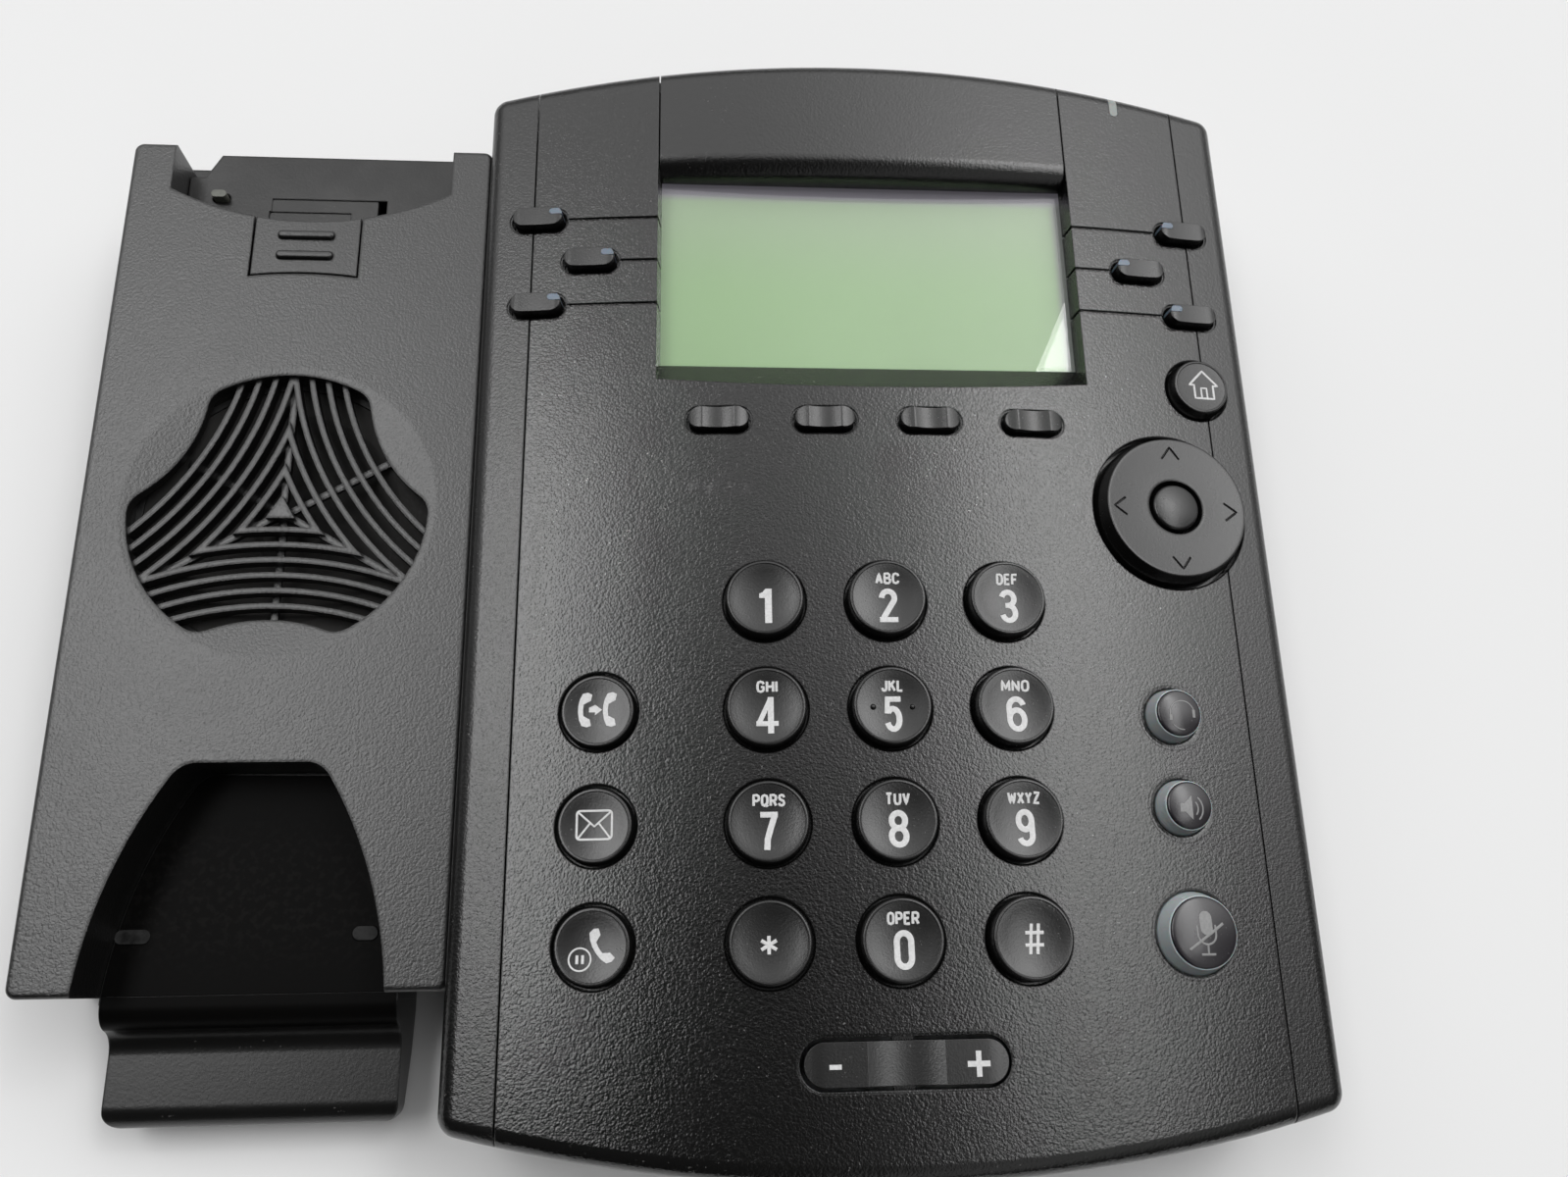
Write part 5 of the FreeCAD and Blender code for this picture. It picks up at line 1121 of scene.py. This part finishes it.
LINE_KEYS = {
    "line_key_left_top": (-55.7, 93.5), "line_key_left_middle": (-46.85, 85.35),
    "line_key_left_low": (-55.5, 77.2), "line_key_right_top": (55.7, 93.5),
    "line_key_right_middle": (46.85, 85.35), "line_key_right_low": (55.5, 77.2),
}


def make_pill_keys():
    pitch = 17.05
    cuts = [step * 0.4 for step in range(-11, 12)]
    for index in range(4):
        pill_key(f"soft_key_{index + 1}", (index - 1.5) * pitch, 55.8, soft_top,
                 cuts + [-SOFT_RIDGE, SOFT_RIDGE], length=9.6, width=3.6, high=1.5)
    for name, (x, y) in LINE_KEYS.items():
        pill_key(name, x, y, line_top, [step * 0.42 for step in range(-9, 10)],
                 length=8.35, width=3.45, high=1.65)
        side = -1 if x > 0 else 1
        window = pill(2.7, 1.15, -1.2, 1.71)
        soften(window, top_rim(window, 1.65), 0.1, 2)
        window.transform(shift(side * 3.35, 0.72))
        outside = pill(8.43, 3.53, -1.0, 1.85)
        lens = carve(window, outside, "INTERSECT")
        piece(name + "_lens", lens, seat(x, y), name, [blue_lens], 34)


def rocker_top(x):
    reach, hollow = abs(x), 17
    if reach < ROCKER_RIDGE:
        return -0.9 + hollow - sqrt(hollow * hollow - reach * reach)
    return -0.25 * max(0.0, (reach - 11.0) / 3.3) ** 2


def make_rocker():
    cuts = [step * 0.78 for step in range(-17, 18)] + [-ROCKER_RIDGE, ROCKER_RIDGE]
    bm = pill(28.6, 5.9, -2.8, 0.7, cuts, 48)
    shape_top(bm, 0.7, rocker_top)
    # The hollow middle takes the paler black with its painted sheen.
    for face in bm.faces:
        if face.normal.z > 0.5 and abs(face.calc_center_median().x) < ROCKER_RIDGE:
            face.material_index = 2
    soften(bm, top_rim(bm, -0.8), 0.34, 4)
    bars = [(-10, 0.85, -0.32, 0.32), (10, 1.6, -0.38, 0.38), (10, 0.38, 0.38, 1.7),
            (10, 0.38, -1.7, -0.38)]
    marks = [plate(((-half, low), (half, low), (half, high), (-half, high)), (x, -0.3))
             for x, half, low, high in bars]
    lay_on(bm, marks)
    ears = bmesh.new()
    add_box(ears, (0, 0, -3.25), (3.0, 9.2, 1.0))
    join(bm, ears)
    for side in (-10, 10):
        join(bm, rod(STEM, stem_foot(0) + 0.5, -2.8, side))
    made = piece("volume_rocker_bar", bm, seat(0, -41.6), "volume_rocker",
                 [key_black, ink, key_black_middle_sheen], 30)
    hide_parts("volume_rocker")


make_dial()
make_side_keys()
make_lamp_keys()
make_navigation()
make_pill_keys()
make_rocker()


# Window, feet, cover, tab, sheets of painted shade and small parts

def make_window():
    low, high = (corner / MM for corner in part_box("display_lens"))
    middle = (low + high) / 2
    size = high - low
    lowered = 0.06
    bm = bmesh.new()
    add_box(bm, middle + Vector((0, 0, lowered / 2)), (size.x, size.y, size.z - lowered))
    soften(bm, lambda edge: True, 0.15, 2)
    made = piece("display_window_pane", bm, METRES, "housing", [pane])
    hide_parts("display_lens")


# From the dial's middle.
FEET = ((-50, -29), (50, -29), (-50, 99), (50, 99), (-114, -17), (-114, 100))


def make_feet():
    whole = bmesh.new()
    for x, y in FEET:
        foot = turned([(0, 2.0), (6.0, 2.0), (6.0, 0.0), (4.6, 0.0), (4.4, 0.25), (0, 0.25)], 64)
        soften(foot, on_ring(6.0, 0.0), 0.35, 3)
        foot.transform(shift(DIAL.x + x, DIAL.y + y, 0))
        join(whole, foot)
    made = piece("rubber_feet_pads", whole, METRES, "housing", [rubber])
    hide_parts("rubber_feet")


def bowed(start, end, radius, steps=10):
    """Points from start up to end along an arc, bowed to the right if the radius is above 0."""
    chord = Vector(end) - Vector(start)
    side = 1 if radius > 0 else -1
    across = Vector((chord.y, -chord.x)).normalized() * side
    deep = sqrt(radius * radius - chord.length_squared / 4)
    centre = (Vector(start) + Vector(end)) / 2 - across * deep
    first = Vector(start) - centre
    turn = 2 * asin(chord.length / 2 / abs(radius)) * side
    return [tuple(centre + Matrix.Rotation(turn * k / steps, 2) @ first) for k in range(steps)]


def block(outline, low, high):
    """A flat-topped block with this outline between two heights."""
    bm = flat([(x, y, low) for x, y in outline])
    thicken(bm, (0, 0, high - low))
    return outward(bm)


def make_cover():
    """The cover above the display, with its roll drawn back off the window's edge."""
    node = nodes["top_cover"]
    mesh = node.data.copy()
    mesh.transform(node.matrix_world)
    roll_end, fade, back = 76.0 * MM, 5.0 * MM, 1.6 * MM
    for vert in mesh.vertices:
        vert.co.y += back * min(1.0, max(0.0, (roll_end - vert.co.y) / fade))
    mesh.materials.clear()
    mesh.materials.append(cover_black)
    made = new_object("top_cover_shell", mesh)
    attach(made, "housing")
    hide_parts("top_cover")


def make_tab():
    """The sliding tab under the ear recess, with two round ridges for the thumb."""
    left, right, low, high = CRADLE_X - 8.8, CRADLE_X + 8.8, 51.2, 62.61
    outline = bowed((left, low), (right, low), -66.0)
    outline += [(right, low)] + bowed((right, high), (left, high), -50.0) + [(left, high)]
    tab = block(outline, 23.6, CRADLE_TOP)
    soften(tab, top_rim(tab, 25.0), 0.22, 3)
    for y in (55.0, 58.9):
        ridge = pill(9.5, 1.5, 25.3, 26.28)
        soften(ridge, top_rim(ridge, 26.0), 0.5, 4)
        ridge.transform(shift(CRADLE_X, y, 0))
        join(tab, ridge)
    made = piece("handset_tab_plate", tab, METRES, "handset_tab", [tab_black])
    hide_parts("handset_tab")


def make_arch_floor():
    """A sheet of painted shade over the bottom of the arch, and the two paler pads on it."""
    foot, shoulder, top = ((21.5, -64.7), (11.3, -33.6), (8.5, -31.8))
    left = [(CRADLE_X - x, y) for x, y in (foot, shoulder, top)]
    right = [(CRADLE_X + x, y) for x, y in (foot, shoulder, top)]
    outline = [left[0], right[0]] + bowed(right[0], right[1], 68.0, 12)[1:]
    outline += bowed(right[1], right[2], 4.5, 4) + bowed(left[2], left[1], 4.5, 4)
    outline += bowed(left[1], left[0], 68.0, 12)
    sheet = block(outline, ARCH_FLOOR, ARCH_FLOOR + 0.07)
    for x, length in ((-82.9, 5.2), (-48.6, 3.8)):
        pad = pill(length, 2.1, ARCH_FLOOR, ARCH_FLOOR + 0.17, segments=24)
        soften(pad, top_rim(pad, ARCH_FLOOR + 0.05), 0.05, 2)
        pad.transform(shift(x, -56.1, 0))
        join(sheet, pad, 1)
    piece("arch_floor_shade_sheet", sheet, METRES, "housing", [painted_shade_black, pad_grey])


def make_shadow_strip():
    """A strip of painted shadow over the roll where the foot leaves the arch."""
    left, right, bend = -86.3, -43.3, 3.6
    line = [(-64.72, 15.52)] + arc(-66.0, 15.5 - bend, bend + 0.03, 90, 160, 12)
    outline = line + [(y, z - 0.08) for y, z in reversed(line)]
    bm = flat([(left, y, z) for y, z in outline])
    thicken(bm, (right - left, 0, 0))
    piece("foot_roll_shadow_strip", outward(bm), METRES, "housing", [painted_shade_black])


def make_contacts():
    """Sprung gold wires across the roof of each socket's mouth."""
    pitch, mouth = 1.02, 51.6
    slope = Matrix.Rotation(radians(-18), 3, "X")
    wires = bmesh.new()
    for middle, count, top, deep in ((-3.3, 8, 17.0, 9.0), (15.7, 8, 17.0, 9.0),
                                     (33.7, 4, 16.3, 8.0), (47.7, 4, 16.3, 8.0)):
        for k in range(count):
            x = middle + (k - (count - 1) / 2) * pitch
            add_box(wires, (x, mouth + deep / 2, top - 1.6), (0.36, deep, 0.24), slope)
    soften(wires, lambda edge: True, 0.06, 2)
    piece("socket_contacts", wires, METRES, "housing", [gold])


make_window()
make_feet()
make_cover()
make_tab()
make_arch_floor()
make_shadow_strip()
make_contacts()


# Floor

def make_floor():
    bm = bmesh.new()
    ops.create_grid(bm, x_segments=2, y_segments=2, size=6.0)
    mesh = as_mesh(bm, "floor")
    floor = new_object("floor", mesh)
    material, tree, shader = new_finish("floor_pale", Roughness=0.9)
    feed(shader, "Base Color", blend(noise(tree, 9.0, 4.0), grey(0.81), grey(0.83)))
    mesh.materials.append(material)


make_floor()
